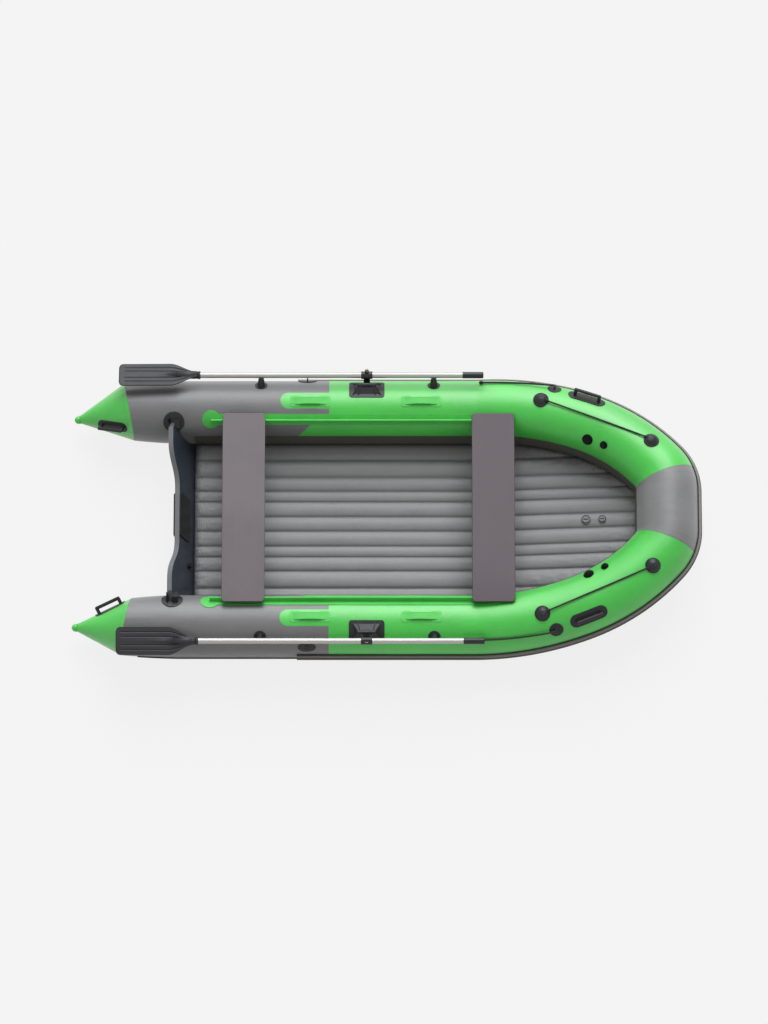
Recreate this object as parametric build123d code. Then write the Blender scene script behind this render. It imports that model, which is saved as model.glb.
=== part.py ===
from build123d import *
from math import asin, cos, degrees, radians, sin, sqrt, tan
import os

# Inflatable boat, bow towards +X, port side towards +Y, parked on its tubes. All in millimetres.
TUBE_RADIUS = 165.0
AXIS_SPACING = 1200.0      # between the axes of the two side tubes
SEAM_X = -1363.0           # where the stern cones begin
TAPER_X = -1090.0          # where the tubes start to narrow towards the stern
COLOUR_X = -303.0          # seam between the aft and the side panels
SHEER_X = 460.0            # where the bow starts to rise
SHEER_ANGLE = 6.0
SHEER_RADIUS = 500.0
SHOULDER_RADIUS, SHOULDER_TURN = 1500.0, 20.0
FLARE_RADIUS, FLARE_TURN = 1000.0, 48.0
CORNER_ROOM, BOW_SEAM_TURN = 30.0, 69.0   # inner radius of the bow corners
FIT = 0.3                  # glue line between pieces that lie on each other
SKIN = 3.0                 # thickness of the rubber and fabric patches

SEAM_STEP, SEAM_SKEW = 13.0, 11.0          # how much narrower the tube is at the cone
CONE_LENGTH, CONE_INWARD, CONE_DROP = 269.0, 18.0, 69.7
TIP_RADIUS, TIP_CAP = 15.0, 5.0

STRAKE_X = -470.0
STRAKE_HEIGHT, STRAKE_DEPTH = 44.0, 18.0
BEAD_RADIUS = 3.2
GUARD_THICKNESS, GUARD_HALF_ANGLE = 2.4, 15.0
SKIRT_THICKNESS, SKIRT_TOP_ANGLE, SKIRT_GAP = 1.6, 160.0, 11.6

FLOOR_CREASES = (40.5, 124.0, 184.0, 263.0, 357.0, 540.0)
FLOOR_TOP, FLOOR_BOTTOM, FLOOR_SWELL = 84.0, 26.0, 13.0

TRANSOM_X, TRANSOM_RAKE, TRANSOM_THICKNESS = -1022.0, 22.0, 27.0
TRANSOM_FOOT, CUTOUT_Z, WING_Z = 30.0, 248.0, 334.0
CUTOUT_HALF, WING_HALF, WING_END = 140.0, 390.0, 455.0
MOTOR_PAD, MOTOR_PAD_CORNER = (240.0, 130.0, 6.0), 12.0
HOLDER_ANGLE, HOLDER_RADIUS, HOLDER_JAW = 129.0, 56.0, (62.0, 46.0, 60.0)
DRAIN_Y, DRAIN_RISE, DRAIN_FLANGE, DRAIN_CAP = -250.0, 46.0, (19.0, 5.0), (13.0, 14.0)
DRAIN_KEY = (22.0, 6.0, 8.0)

RAIL_ANGLE, RAIL_AFT, RAIL_FORE = 124.0, -925.0, 590.0
RAIL_WEB, RAIL_BEAD, RAIL_RISE = 5.0, 6.0, 24.0
RAIL_FOOT, RAIL_PATCH = 58.0, 48.0
SEAT_OVERHANG, SEAT_WIDTH, SEAT_THICKNESS, SEAT_CORNER = 30.7, 224.0, 15.0, 18.0
SEAT_EDGE, SEAT_LIFT = 2.5, 15.0           # rounding of the top, height above the bead
SEAT_STATIONS = {"aft": -751.0, "front": 559.0}
FOOT_SHIFT = {"aft": 0.0, "front": -52.0}
SEAT_FOOT, FOOT_CLIP, FOOT_SEAT = 100.0, (18.0, 26.0), 40.0
SLIDE_FIT = 0.5

OARLOCK_X, OARLOCK_ANGLE = -105.0, 62.0
BARREL_RISE, BARREL_RADIUS, BARREL_LENGTH, KNUCKLE = 27.0, 12.0, 96.0, 36.0
PIN_RADIUS, PIN_OFFSET, SHAFT_RISE = 5.0, 40.0, 60.0
SHAFT_RADIUS, CLAMP_RADIUS, CLAMP_LENGTH = 15.0, 20.0, 59.0
LOCK_FOOT, LOCK_FOOT_CORNER, LOCK_BODY, LOCK_RIDGE = (186.0, 118.0), 16.0, (150.0, 96.0), 16.0
HINGE_ROD, HINGE_PLAY, YOKE_BOSS, PIN_HEAD = 4.0, 1.5, 15.0, (11.0, 9.0)
OAR_TIP_X, BLADE_LENGTH, BLADE_WIDTH, BLADE_THICKNESS, BLADE_ROLL = -1412.0, 430.0, 147.0, 8.0, 8.0
BLADE_FULL, BLADE_NECK, BLADE_CORNER, BLADE_SHOULDER = 260.0, 17.0, 24.0, 60.0
BLADE_SOCKET, SOCKET_WALL, SPINE_LENGTH, BLADE_RIB = 130.0, 4.0, 160.0, (220.0, 7.0, 15.0)
GRIP_END_X, GRIP_LENGTH, GRIP_RADIUS = 510.0, 110.0, 17.0
OAR_REST_X, REST_PATCH, REST_FOOT, REST_TOP, REST_ROOM = (-662.0, 248.0), 33.0, 22.0, 13.0, 5.5

STRAP_X = (-402.0, 181.0)
STRAP_LENGTH, STRAP_WIDTH, STRAP_THICKNESS, STRAP_ARCH = 185.0, 37.0, 3.0, 17.0
STRAP_PATCH, STRAP_PATCH_CORNER = (56.0, 60.0), 14.0
HANDLE_PAD, HANDLE_SPAN, HANDLE_RISE, HANDLE_BAR = (205.0, 72.0), 132.0, 32.0, 9.0
STERN_PAD = (180.0, 60.0)
BOW_HANDLE_TURN, BOW_HANDLE_ANGLE = 20.4, 49.0
STERN_HANDLE_ALONG, STERN_HANDLE_ANGLE = 0.37, 147.0
EYE_STATIONS, LIFELINE_ANGLE = ((12.0, 80.0), (43.0, 67.0)), 87.0
EYE_RADIUS, EYE_RISE, ROPE_RADIUS = 40.0, 26.0, 4.5
TETHER_TURN, TETHER_ANGLE, TETHER_RADIUS, TETHER_END_ANGLE = 13.8, 44.0, 5.0, 47.0
TOGGLE_RADIUS = 9.0
RING_RADIUS, RING_WIRE, RING_RISE, TETHER_PATCH = 15.0, 3.5, 5.0, 37.0
VALVE_STATIONS = ((25.7, 130.0, 29.0), (31.6, 126.0, 21.0))
FLOOR_VALVES = ((1041.0, 25.0), (1127.0, 21.0))
D_RING_X, D_RING_ANGLE, D_RING_PATCH = -418.0, 30.0, (47.0, 30.0)
TOW_ANGLE, TOW_PATCH = -38.0, (48.0, 34.0)

HALF = AXIS_SPACING / 2
AXIS_Z = TUBE_RADIUS + FIT + GUARD_THICKNESS
CORNER_RADIUS = TUBE_RADIUS + CORNER_ROOM
SEAM_RADIUS = TUBE_RADIUS - SEAM_STEP
CONE_TIP = (SEAM_X - CONE_LENGTH, HALF - CONE_INWARD, AXIS_Z - CONE_DROP)
HOLDER_Z = AXIS_Z + TUBE_RADIUS * sin(radians(HOLDER_ANGLE))
SHEER = radians(SHEER_ANGLE)
BOW = Plane(
    (SHEER_X + SHEER_RADIUS * sin(SHEER), 0, AXIS_Z + SHEER_RADIUS * (1 - cos(SHEER))),
    x_dir=(cos(SHEER), 0, sin(SHEER)), z_dir=(-sin(SHEER), 0, cos(SHEER)))


# Both sides of the boat: the port piece and its mirror image
def pair(piece):
    return [piece, piece.mirror(Plane.XZ)]


def solids(*pieces):
    return Compound([s for p in pieces for s in (p.solids() if hasattr(p, "solids") else [p])])


# Port tube axis in the raised bow plane: distance forward and half breadth at a turning angle
def bow_axis(turn):
    t, a, b = radians(turn), radians(SHOULDER_TURN), radians(FLARE_TURN)
    first, second, third = min(t, a), min(max(t, a), b), max(t, b)
    forward = (SHOULDER_RADIUS * sin(first) + FLARE_RADIUS * (sin(second) - sin(a))
               + CORNER_RADIUS * (sin(third) - sin(b)))
    inward = (SHOULDER_RADIUS * (1 - cos(first)) + FLARE_RADIUS * (cos(a) - cos(second))
              + CORNER_RADIUS * (cos(b) - cos(third)))
    return forward, HALF - inward


def bow_point(turn):
    forward, breadth = bow_axis(turn)
    return BOW.from_local_coords((forward, breadth, 0))


# Cross-section plane of the port tube: x outboard, y up, z along the tube
def section(x=0.0, turn=None):
    if turn is None:
        return Plane((x, HALF, AXIS_Z), x_dir=(0, 1, 0), z_dir=(1, 0, 0))
    t = radians(turn)
    base = BOW.from_local_coords((0, 0, 0))
    out = BOW.from_local_coords((sin(t), cos(t), 0)) - base
    along = BOW.from_local_coords((cos(t), -sin(t), 0)) - base
    return Plane(bow_point(turn), x_dir=out, z_dir=along)


# Plane lying on the tube at an angle up from outboard: x along the tube, z out of it
def on_tube(station, angle, rise=0.0, radius=TUBE_RADIUS):
    a = radians(angle)
    out = station.x_dir * cos(a) + station.y_dir * sin(a)
    return Plane(station.origin + out * (radius + rise), x_dir=station.z_dir, z_dir=out)


def bow_arc(start, end):
    return ThreePointArc(bow_point(start), bow_point((start + end) / 2), bow_point(end))


def sheer_point(angle):
    return (SHEER_X + SHEER_RADIUS * sin(angle), HALF, AXIS_Z + SHEER_RADIUS * (1 - cos(angle)))


# Tube axis from a station on the straight side to a turning angle of the bow
def side_route(start_x, end_turn):
    edges = [
        Line((start_x, HALF, AXIS_Z), sheer_point(0)),
        ThreePointArc(sheer_point(0), sheer_point(SHEER / 2), sheer_point(SHEER)),
        bow_arc(0, min(SHOULDER_TURN, end_turn))]
    if end_turn > SHOULDER_TURN:
        edges.append(bow_arc(SHOULDER_TURN, min(FLARE_TURN, end_turn)))
    if end_turn > FLARE_TURN:
        edges.append(bow_arc(FLARE_TURN, end_turn))
    return Wire(edges)


# Tube axis across the bow, from the port seam to the starboard seam
def bow_route():
    corner = bow_arc(BOW_SEAM_TURN, 90)
    front = bow_point(90)
    return Wire([corner, Line(front, (front.X, -front.Y, front.Z)), corner.mirror(Plane.XZ)])


def along_side(profile, start_x, end_turn):
    return sweep(section(start_x) * profile, path=side_route(start_x, end_turn))


def across_bow(profile):
    return sweep(section(turn=BOW_SEAM_TURN) * profile, path=bow_route())


# Band hugging the tube between two angles
def band(start, end, thickness):
    inner, outer = TUBE_RADIUS + FIT, TUBE_RADIUS + FIT + thickness
    at = lambda r, a: (r * cos(radians(a)), r * sin(radians(a)))
    mid = (start + end) / 2
    return make_face([
        ThreePointArc(at(inner, start), at(inner, mid), at(inner, end)),
        Line(at(inner, end), at(outer, end)),
        ThreePointArc(at(outer, end), at(outer, mid), at(outer, start)),
        Line(at(outer, start), at(inner, start))])


# Port tube from the transom to past the bow corner, grown by a skin thickness
def tube_body(growth, start_x=SEAM_X):
    return along_side(Circle(TUBE_RADIUS + growth), start_x, 89)


CLEAR_TUBE = tube_body(FIT)
SKIN_TUBE = tube_body(FIT + SKIN)


# Patch of the given outline that lies on the tube
def tube_patch(plane, outline):
    prism = extrude(plane.offset(-TUBE_RADIUS * 0.5) * outline, TUBE_RADIUS * 0.6)
    return (prism & SKIN_TUBE) - CLEAR_TUBE


# Lug that rises from the tube: its foot is trimmed to the tube's round
def seated(piece):
    return piece - CLEAR_TUBE


def seam_plane():
    skew = radians(SEAM_SKEW)
    return Plane((SEAM_X, HALF, AXIS_Z), x_dir=(-sin(skew), cos(skew), 0), z_dir=(cos(skew), sin(skew), 0))


# Air tubes: three panels a side, joined across the bow
def tube_panels():
    seam = seam_plane()
    halfway = Plane(((TAPER_X + SEAM_X) / 2, HALF, AXIS_Z),
                    x_dir=(-sin(radians(SEAM_SKEW / 3)), cos(radians(SEAM_SKEW / 3)), 0),
                    z_dir=(cos(radians(SEAM_SKEW / 3)), sin(radians(SEAM_SKEW / 3)), 0))
    mid_radius = TUBE_RADIUS - (TUBE_RADIUS - SEAM_RADIUS) * 0.35
    aft = extrude(section(TAPER_X) * Circle(TUBE_RADIUS), COLOUR_X - TAPER_X)
    aft += loft([section(TAPER_X) * Circle(TUBE_RADIUS), halfway * Circle(mid_radius),
                 seam * Circle(SEAM_RADIUS)])
    tip = Vector(*CONE_TIP)
    lean = (seam.origin - tip).normalized()
    cone = loft([seam * Circle(SEAM_RADIUS),
                 Plane(tip, x_dir=seam.x_dir, z_dir=lean) * Circle(TIP_RADIUS)], ruled=True)
    side = along_side(Circle(TUBE_RADIUS), COLOUR_X, BOW_SEAM_TURN)
    return aft, cone, side, across_bow(Circle(TUBE_RADIUS)), lean


AFT_TUBE, CONE, SIDE_TUBE, BOW_TUBE, CONE_LEAN = tube_panels()
AFT_TUBE_CLEAR = loft([section(TAPER_X) * Circle(TUBE_RADIUS + FIT),
                       seam_plane() * Circle(SEAM_RADIUS + FIT)], ruled=True)


# Black rubber nose on the tip of each cone
def tip_cap():
    plane = Plane(Vector(*CONE_TIP), z_dir=-CONE_LEAN)
    radius = TIP_RADIUS + TIP_CAP
    behind = Pos(0, 0, FIT - radius) * Box(3 * radius, 3 * radius, 2 * radius)
    return plane * Sphere(radius) - plane * behind


# Fender along the outer side: half-round profile on the tube
def strake_profile():
    foot, out = STRAKE_HEIGHT / 2, TUBE_RADIUS + STRAKE_DEPTH
    inner = TUBE_RADIUS + FIT
    near = sqrt(inner ** 2 - foot ** 2)
    return make_face([
        ThreePointArc((near, -foot), (inner, 0), (near, foot)),
        Line((near, foot), (out - 5, foot - 4)),
        ThreePointArc((out - 5, foot - 4), (out, 0), (out - 5, 4 - foot)),
        Line((out - 5, 4 - foot), (near, -foot))])


def bead_profile(up):
    reach = TUBE_RADIUS + FIT + BEAD_RADIUS
    height = up * (STRAKE_HEIGHT / 2 + BEAD_RADIUS + 1)
    return Pos(sqrt(reach ** 2 - height ** 2), height) * Circle(BEAD_RADIUS)


# Channelled air mattress between the tubes: bulges between stitched creases
def floor_profile():
    edges = [-y for y in reversed(FLOOR_CREASES)] + list(FLOOR_CREASES)
    top, bottom = FLOOR_TOP - AXIS_Z, FLOOR_BOTTOM - AXIS_Z
    lines = []
    for left, right in zip(edges, edges[1:]):
        swell = FLOOR_SWELL * min(1.0, (right - left) / 80)
        mid = (left + right) / 2
        lines.append(ThreePointArc((left, top), (mid, top + swell), (right, top)))
        lines.append(ThreePointArc((left, bottom), (mid, bottom - swell), (right, bottom)))
    lines += [Line((y, bottom), (y, top)) for y in (edges[0], edges[-1])]
    return make_face(lines)


def transom_plane(depth=0.0):
    r = radians(TRANSOM_RAKE)
    face = Plane((TRANSOM_X, 0, FLOOR_TOP), x_dir=(0, 1, 0), z_dir=(cos(r), 0, sin(r)))
    return face.offset(depth)


def up_transom(z):
    return (z - FLOOR_TOP) / cos(radians(TRANSOM_RAKE))


def air_floor():
    profile = floor_profile()
    aft = extrude(Plane((TRANSOM_X - 60, 0, AXIS_Z), x_dir=(0, 1, 0), z_dir=(1, 0, 0)) * profile,
                  SHEER_X - TRANSOM_X + 60)
    start = Plane((SHEER_X, 0, AXIS_Z), x_dir=(0, 1, 0), z_dir=(1, 0, 0)) * profile
    axis = Axis((SHEER_X, 0, AXIS_Z + SHEER_RADIUS), (0, -1, 0))
    bend = revolve(start, axis, SHEER_ANGLE)
    reach = bow_axis(90)[0]
    fore = extrude(Plane(BOW.origin, x_dir=(0, 1, 0), z_dir=BOW.x_dir) * profile, reach)
    inside = make_face([
        Line((0, -HALF), (0, HALF)),
        *[ThreePointArc(*[bow_axis(a + (b - a) * k) for k in (0, 0.5, 1)])
          for a, b in ((0, SHOULDER_TURN), (SHOULDER_TURN, FLARE_TURN), (FLARE_TURN, 90))],
        Line(bow_axis(90), (reach, -bow_axis(90)[1])),
        *[ThreePointArc(*[(bow_axis(a + (b - a) * k)[0], -bow_axis(a + (b - a) * k)[1])
                          for k in (0, 0.5, 1)])
          for a, b in ((0, SHOULDER_TURN), (SHOULDER_TURN, FLARE_TURN), (FLARE_TURN, 90))]])
    fore &= extrude(BOW.offset(-2 * TUBE_RADIUS) * inside, 4 * TUBE_RADIUS)
    floor = aft + bend + fore
    floor -= all_round(Circle(TUBE_RADIUS + FIT), TRANSOM_X - 80)
    floor -= extrude(transom_plane(FIT) * Rectangle(AXIS_SPACING, 4 * TUBE_RADIUS), -2 * TUBE_RADIUS)
    return max(floor.solids(), key=lambda s: s.volume)


# Raked board between the tubes, cut down in the middle for the motor
def transom():
    foot, cut, wing = up_transom(TRANSOM_FOOT), up_transom(CUTOUT_Z), up_transom(WING_Z)
    reach, corner = HALF - 40, up_transom(HOLDER_Z)
    mid = (CUTOUT_HALF + WING_HALF) / 2
    outline = [Line((-CUTOUT_HALF, cut), (CUTOUT_HALF, cut)), Line((-reach, foot), (reach, foot))]
    for side in (1, -1):
        outline += [
            Bezier((side * CUTOUT_HALF, cut), (side * mid, cut), (side * mid, wing),
                   (side * WING_HALF, wing)),
            Line((side * WING_HALF, wing), (side * WING_END, wing)),
            Line((side * WING_END, wing), (side * reach, corner - HOLDER_RADIUS)),
            Line((side * reach, corner - HOLDER_RADIUS), (side * reach, foot))]
    board = extrude(transom_plane() * make_face(outline), -TRANSOM_THICKNESS)
    for tube in pair(tube_body(FIT, TRANSOM_X - 260)):
        board -= tube
    return board


def motor_pads():
    width, height, thick = MOTOR_PAD
    middle = up_transom(CUTOUT_Z) - height / 2 + 2
    outline = Pos(0, middle) * RectangleRounded(width, height, MOTOR_PAD_CORNER)
    inner = extrude(transom_plane(FIT) * outline, thick)
    outer = extrude(transom_plane(-TRANSOM_THICKNESS - FIT) * outline, -thick)
    return inner, outer


def drain_plug():
    plane = transom_plane(FIT) * Pos(DRAIN_Y, up_transom(FLOOR_TOP + DRAIN_RISE))
    grow = (Align.CENTER, Align.CENTER, Align.MIN)
    body = plane * Cylinder(*DRAIN_FLANGE, align=grow) + plane * Cylinder(*DRAIN_CAP, align=grow)
    return body + plane * Pos(0, 0, DRAIN_CAP[1]) * Box(*DRAIN_KEY, align=grow)


# Rubber foot on the tube with two jaws that hold the top corner of the transom
def transom_holder():
    x = TRANSOM_X - tan(radians(TRANSOM_RAKE)) * (HOLDER_Z - FLOOR_TOP) - TRANSOM_THICKNESS / 2
    plane = on_tube(section(x), HOLDER_ANGLE)
    holder = tube_patch(plane, Circle(HOLDER_RADIUS)) + seated(plane * Pos(0, 0, 4) * Box(*HOLDER_JAW))
    slot = extrude(transom_plane(2 * FIT) * Rectangle(2 * AXIS_SPACING, 6 * TUBE_RADIUS),
                   -TRANSOM_THICKNESS - 4 * FIT)
    return holder - slot


# Rail for the seats: fabric foot, web and round bead, with a round patch at its aft end
def seat_rail():
    length = RAIL_FORE - RAIL_AFT
    plane = on_tube(section(RAIL_AFT), RAIL_ANGLE)
    foot = tube_patch(plane, Pos(length / 2, 0) * Rectangle(length, RAIL_FOOT) + Circle(RAIL_PATCH))
    turned = Rot(0, 0, RAIL_ANGLE)
    web = turned * Pos(TUBE_RADIUS + RAIL_RISE / 2 + 1, 0) * Rectangle(RAIL_RISE, RAIL_WEB)
    bead = turned * Pos(TUBE_RADIUS + RAIL_RISE, 0) * Circle(RAIL_BEAD)
    return foot + seated(extrude(section(RAIL_AFT) * (web + bead), length))


# Centre of the rail's bead, outboard and up from the tube axis
def bead_centre():
    a = radians(RAIL_ANGLE)
    return (TUBE_RADIUS + RAIL_RISE) * cos(a), (TUBE_RADIUS + RAIL_RISE) * sin(a)


# Bench board and the two plastic feet that clip round the rails
def seat(x, foot_x):
    out, up = bead_centre()
    length = 2 * (HALF + out + SEAT_OVERHANG)
    outline = RectangleRounded(SEAT_WIDTH, length, SEAT_CORNER)
    board = extrude(Plane((x, 0, AXIS_Z + up + SEAT_LIFT)) * outline, SEAT_THICKNESS)
    board = fillet(board.faces().sort_by(Axis.Z)[-1].edges(), SEAT_EDGE)
    turned = Pos(out, up) * Rot(0, 0, RAIL_ANGLE)
    block = turned * Rectangle(*FOOT_CLIP)
    block += Pos(out, up + (SEAT_LIFT - FIT) / 2) * Rectangle(FOOT_SEAT, SEAT_LIFT - FIT)
    block -= turned * Circle(RAIL_BEAD + SLIDE_FIT)
    block -= turned * Pos(-RAIL_RISE, 0) * Rectangle(2 * RAIL_RISE, RAIL_WEB + 2 * SLIDE_FIT)
    foot = extrude(section(foot_x - SEAT_FOOT / 2) * block, SEAT_FOOT)
    return board, foot


# Oarlock: rubber foot with ribs up to a hinge barrel that lies along the tube
LOCK = on_tube(section(OARLOCK_X), OARLOCK_ANGLE)
OAR = Plane((LOCK * Pos(0, PIN_OFFSET, SHAFT_RISE)).position, x_dir=LOCK.x_dir, z_dir=LOCK.z_dir)
ALONG = Rot(0, 90, 0)


def oarlock_base():
    foot = tube_patch(LOCK, RectangleRounded(*LOCK_FOOT, LOCK_FOOT_CORNER))
    body = loft([LOCK * Pos(0, 0, -8) * Rectangle(*LOCK_BODY),
                 LOCK * Pos(0, 0, BARREL_RISE) * Rectangle(BARREL_LENGTH, LOCK_RIDGE)], ruled=True)
    barrel = LOCK * Pos(0, 0, BARREL_RISE) * ALONG * Cylinder(BARREL_RADIUS, BARREL_LENGTH)
    base = seated(body) + barrel
    gap = KNUCKLE + 1
    base -= LOCK * Pos(0, 0, BARREL_RISE) * ALONG * Cylinder(BARREL_RADIUS + HINGE_PLAY, gap)
    base -= LOCK * Pos(0, PIN_OFFSET, BARREL_RISE + 20) * Box(gap, 2 * PIN_OFFSET, 2 * BARREL_RISE)
    base -= LOCK * Pos(0, PIN_OFFSET, BARREL_RISE + 20) * Cylinder(YOKE_BOSS + 2, 2 * BARREL_RISE)
    rod = LOCK * Pos(0, 0, BARREL_RISE) * ALONG * Cylinder(HINGE_ROD, BARREL_LENGTH + 4)
    return base + foot + rod


def oarlock_yoke():
    knuckle = LOCK * Pos(0, 0, BARREL_RISE) * ALONG * Cylinder(BARREL_RADIUS, KNUCKLE - 1)
    arm = LOCK * Pos(0, PIN_OFFSET / 2, BARREL_RISE) * Box(KNUCKLE - 2, PIN_OFFSET, 12)
    stand = LOCK * Pos(0, PIN_OFFSET, 0)
    grow = (Align.CENTER, Align.CENTER, Align.MIN)
    low, high = SHAFT_RISE - CLAMP_RADIUS - 1, SHAFT_RISE + CLAMP_RADIUS + 1
    boss = stand * Pos(0, 0, BARREL_RISE - 6) * Cylinder(YOKE_BOSS, low - BARREL_RISE + 6, align=grow)
    pin = stand * Pos(0, 0, low) * Cylinder(PIN_RADIUS, high - low, align=grow)
    head = stand * Pos(0, 0, high) * Cylinder(*PIN_HEAD, align=grow)
    yoke = knuckle + arm + boss + pin + head
    return yoke - LOCK * Pos(0, 0, BARREL_RISE) * ALONG * Cylinder(HINGE_ROD + FIT, KNUCKLE + 4)


def pin_bore():
    return OAR * Cylinder(PIN_RADIUS + FIT, 6 * SHAFT_RADIUS)


def oar_rod(start_x, end_x, radius):
    middle = (start_x + end_x) / 2 - OARLOCK_X
    return OAR * Pos(middle, 0, 0) * ALONG * Cylinder(radius, end_x - start_x)


# Oar pieces: clamp on the pin, shaft, ribbed blade and grip
def oar():
    neck_x = OAR_TIP_X + BLADE_LENGTH
    shaft = oar_rod(neck_x - BLADE_SOCKET + 10, GRIP_END_X - 12, SHAFT_RADIUS) - pin_bore()
    clamp = oar_rod(OARLOCK_X - CLAMP_LENGTH / 2, OARLOCK_X + CLAMP_LENGTH / 2, CLAMP_RADIUS)
    clamp -= oar_rod(OARLOCK_X - CLAMP_LENGTH, OARLOCK_X + CLAMP_LENGTH, SHAFT_RADIUS + FIT / 2)
    clamp -= pin_bore()
    grip = oar_rod(GRIP_END_X - GRIP_LENGTH, GRIP_END_X, GRIP_RADIUS)
    grip = fillet(grip.edges().filter_by(GeomType.CIRCLE).sort_by(Axis.X)[-1], 6)
    grip -= oar_rod(GRIP_END_X - GRIP_LENGTH - 5, GRIP_END_X - 12 + FIT, SHAFT_RADIUS + FIT / 2)
    rolled = OAR * Rot(BLADE_ROLL, 0, 0)
    tip, neck, half = OAR_TIP_X - OARLOCK_X, neck_x - OARLOCK_X, BLADE_WIDTH / 2
    wide, stem = tip + BLADE_FULL, neck - BLADE_SOCKET / 2
    outline = Polyline((tip, -half), (tip, half), (wide, half), (stem, BLADE_NECK), (stem, -BLADE_NECK),
                       (wide, -half), close=True)
    leaf = make_face(outline)
    leaf = fillet(leaf.vertices().sort_by(Axis.X)[:2], BLADE_CORNER)
    leaf = fillet([v for v in leaf.vertices() if abs(v.X - wide) < 1], BLADE_SHOULDER)
    blade = rolled * extrude(leaf, BLADE_THICKNESS / 2, both=True)
    socket = SHAFT_RADIUS + SOCKET_WALL
    blade += oar_rod(neck_x - BLADE_SOCKET, neck_x, socket)
    spine = ALONG * Cone(5, socket, SPINE_LENGTH)
    blade += rolled * Pos(neck - BLADE_SOCKET - SPINE_LENGTH / 2, 0, 0) * spine
    for side in (1, -1):
        blade += rolled * Pos(tip + BLADE_FULL * 0.58, side * half * 0.52, 0) * Box(*BLADE_RIB)
    blade -= oar_rod(neck_x - BLADE_SOCKET + 10 - FIT, neck_x + 5, SHAFT_RADIUS + FIT / 2)
    return clamp, shaft, blade, grip


# Rubber post under the stowed oar
def oar_rest(x):
    out = PIN_OFFSET / sqrt((TUBE_RADIUS + SHAFT_RISE) ** 2 + PIN_OFFSET ** 2)
    lean = OARLOCK_ANGLE - degrees(out)
    plane = on_tube(section(x), lean)
    rise = sqrt((TUBE_RADIUS + SHAFT_RISE) ** 2 + PIN_OFFSET ** 2) - TUBE_RADIUS - SHAFT_RADIUS
    post = plane * Pos(0, 0, rise / 2 - 2) * Cone(REST_FOOT, REST_TOP, rise + 4)
    rest = tube_patch(plane, Circle(REST_PATCH)) + seated(post)
    return rest - oar_rod(x - 2 * REST_PATCH, x + 2 * REST_PATCH, SHAFT_RADIUS + REST_ROOM)


# Webbing carry strap that arches over the tube between two glued ends
def carry_strap(x):
    half = STRAP_LENGTH / 2
    plane = on_tube(section(x), 90)
    low, t = -2.0, STRAP_THICKNESS
    arch = make_face([
        ThreePointArc((-half, low), (0, STRAP_ARCH - t), (half, low)), Line((half, low), (half, low + t)),
        ThreePointArc((half, low + t), (0, STRAP_ARCH), (-half, low + t)),
        Line((-half, low + t), (-half, low))])
    upright = Plane(plane.origin, x_dir=(1, 0, 0), z_dir=(0, -1, 0))
    strap = extrude(upright * arch, STRAP_WIDTH / 2, both=True)
    outline = RectangleRounded(*STRAP_PATCH, STRAP_PATCH_CORNER)
    ends = [tube_patch(on_tube(section(x + s * (half - 16)), 90), outline) for s in (1, -1)]
    return seated(strap) + ends[0] + ends[1]


# Moulded bar handle on a pad: bar, two legs and the pad's outline, before trimming
def handle_bar(plane):
    bar = plane * Pos(0, 0, HANDLE_RISE) * ALONG * Cylinder(HANDLE_BAR, HANDLE_SPAN)
    for s in (1, -1):
        bar += plane * Pos(s * HANDLE_SPAN / 2, 0, HANDLE_RISE) * Sphere(HANDLE_BAR)
        leg = Cylinder(HANDLE_BAR, HANDLE_RISE + 16)
        bar += plane * Pos(s * HANDLE_SPAN / 2, 0, HANDLE_RISE / 2 - 8) * leg
    return bar


def bow_handle():
    plane = on_tube(section(turn=BOW_HANDLE_TURN), BOW_HANDLE_ANGLE)
    pad = tube_patch(plane, SlotOverall(*HANDLE_PAD))
    return pad + seated(handle_bar(plane))


def cone_body(growth):
    seam, tip = seam_plane(), Vector(*CONE_TIP)
    return loft([seam * Circle(SEAM_RADIUS + growth),
                 Plane(tip, x_dir=seam.x_dir, z_dir=CONE_LEAN) * Circle(TIP_RADIUS + growth)], ruled=True)


def cone_point(share, angle):
    seam, tip = seam_plane(), Vector(*CONE_TIP)
    a = radians(angle)
    end = Plane(tip, x_dir=seam.x_dir, z_dir=CONE_LEAN)
    root, far = (plane.origin + (plane.x_dir * cos(a) + plane.y_dir * sin(a)) * radius
                 for plane, radius in ((seam, SEAM_RADIUS), (end, TIP_RADIUS)))
    return root + (far - root) * share


def stern_handle():
    fore, mid, aft = (cone_point(STERN_HANDLE_ALONG + d, STERN_HANDLE_ANGLE) for d in (-0.1, 0, 0.1))
    side = cone_point(STERN_HANDLE_ALONG, STERN_HANDLE_ANGLE + 5) - cone_point(
        STERN_HANDLE_ALONG, STERN_HANDLE_ANGLE - 5)
    along = (fore - aft).normalized()
    plane = Plane(mid, x_dir=along, z_dir=along.cross(side * -1))
    skin, core = cone_body(FIT + SKIN), cone_body(FIT)
    core += AFT_TUBE_CLEAR
    pad = (extrude(plane.offset(-40) * SlotOverall(*STERN_PAD), 60) & skin) - core
    return pad + (handle_bar(plane) - core)


# Where a rope on a path has come clear of a round dome, as a share of the path from one end
def rope_start(path, radius, centre, ball, from_end=False):
    for k in range(1, 400):
        share = 1 - k / 400 if from_end else k / 400
        end = Plane(path @ share, z_dir=path % share)
        rim = [end.from_local_coords((radius * cos(radians(a)), radius * sin(radians(a)), 0))
               for a in range(0, 360, 30)]
        if min((p - centre).length for p in rim + [path @ share]) > ball + FIT:
            return share


def rope(path, start, end, radius):
    run = ThreePointArc(path @ start, path @ ((start + end) / 2), path @ end)
    return sweep(Plane(run @ 0, z_dir=run % 0) * Circle(radius), path=run)


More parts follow.
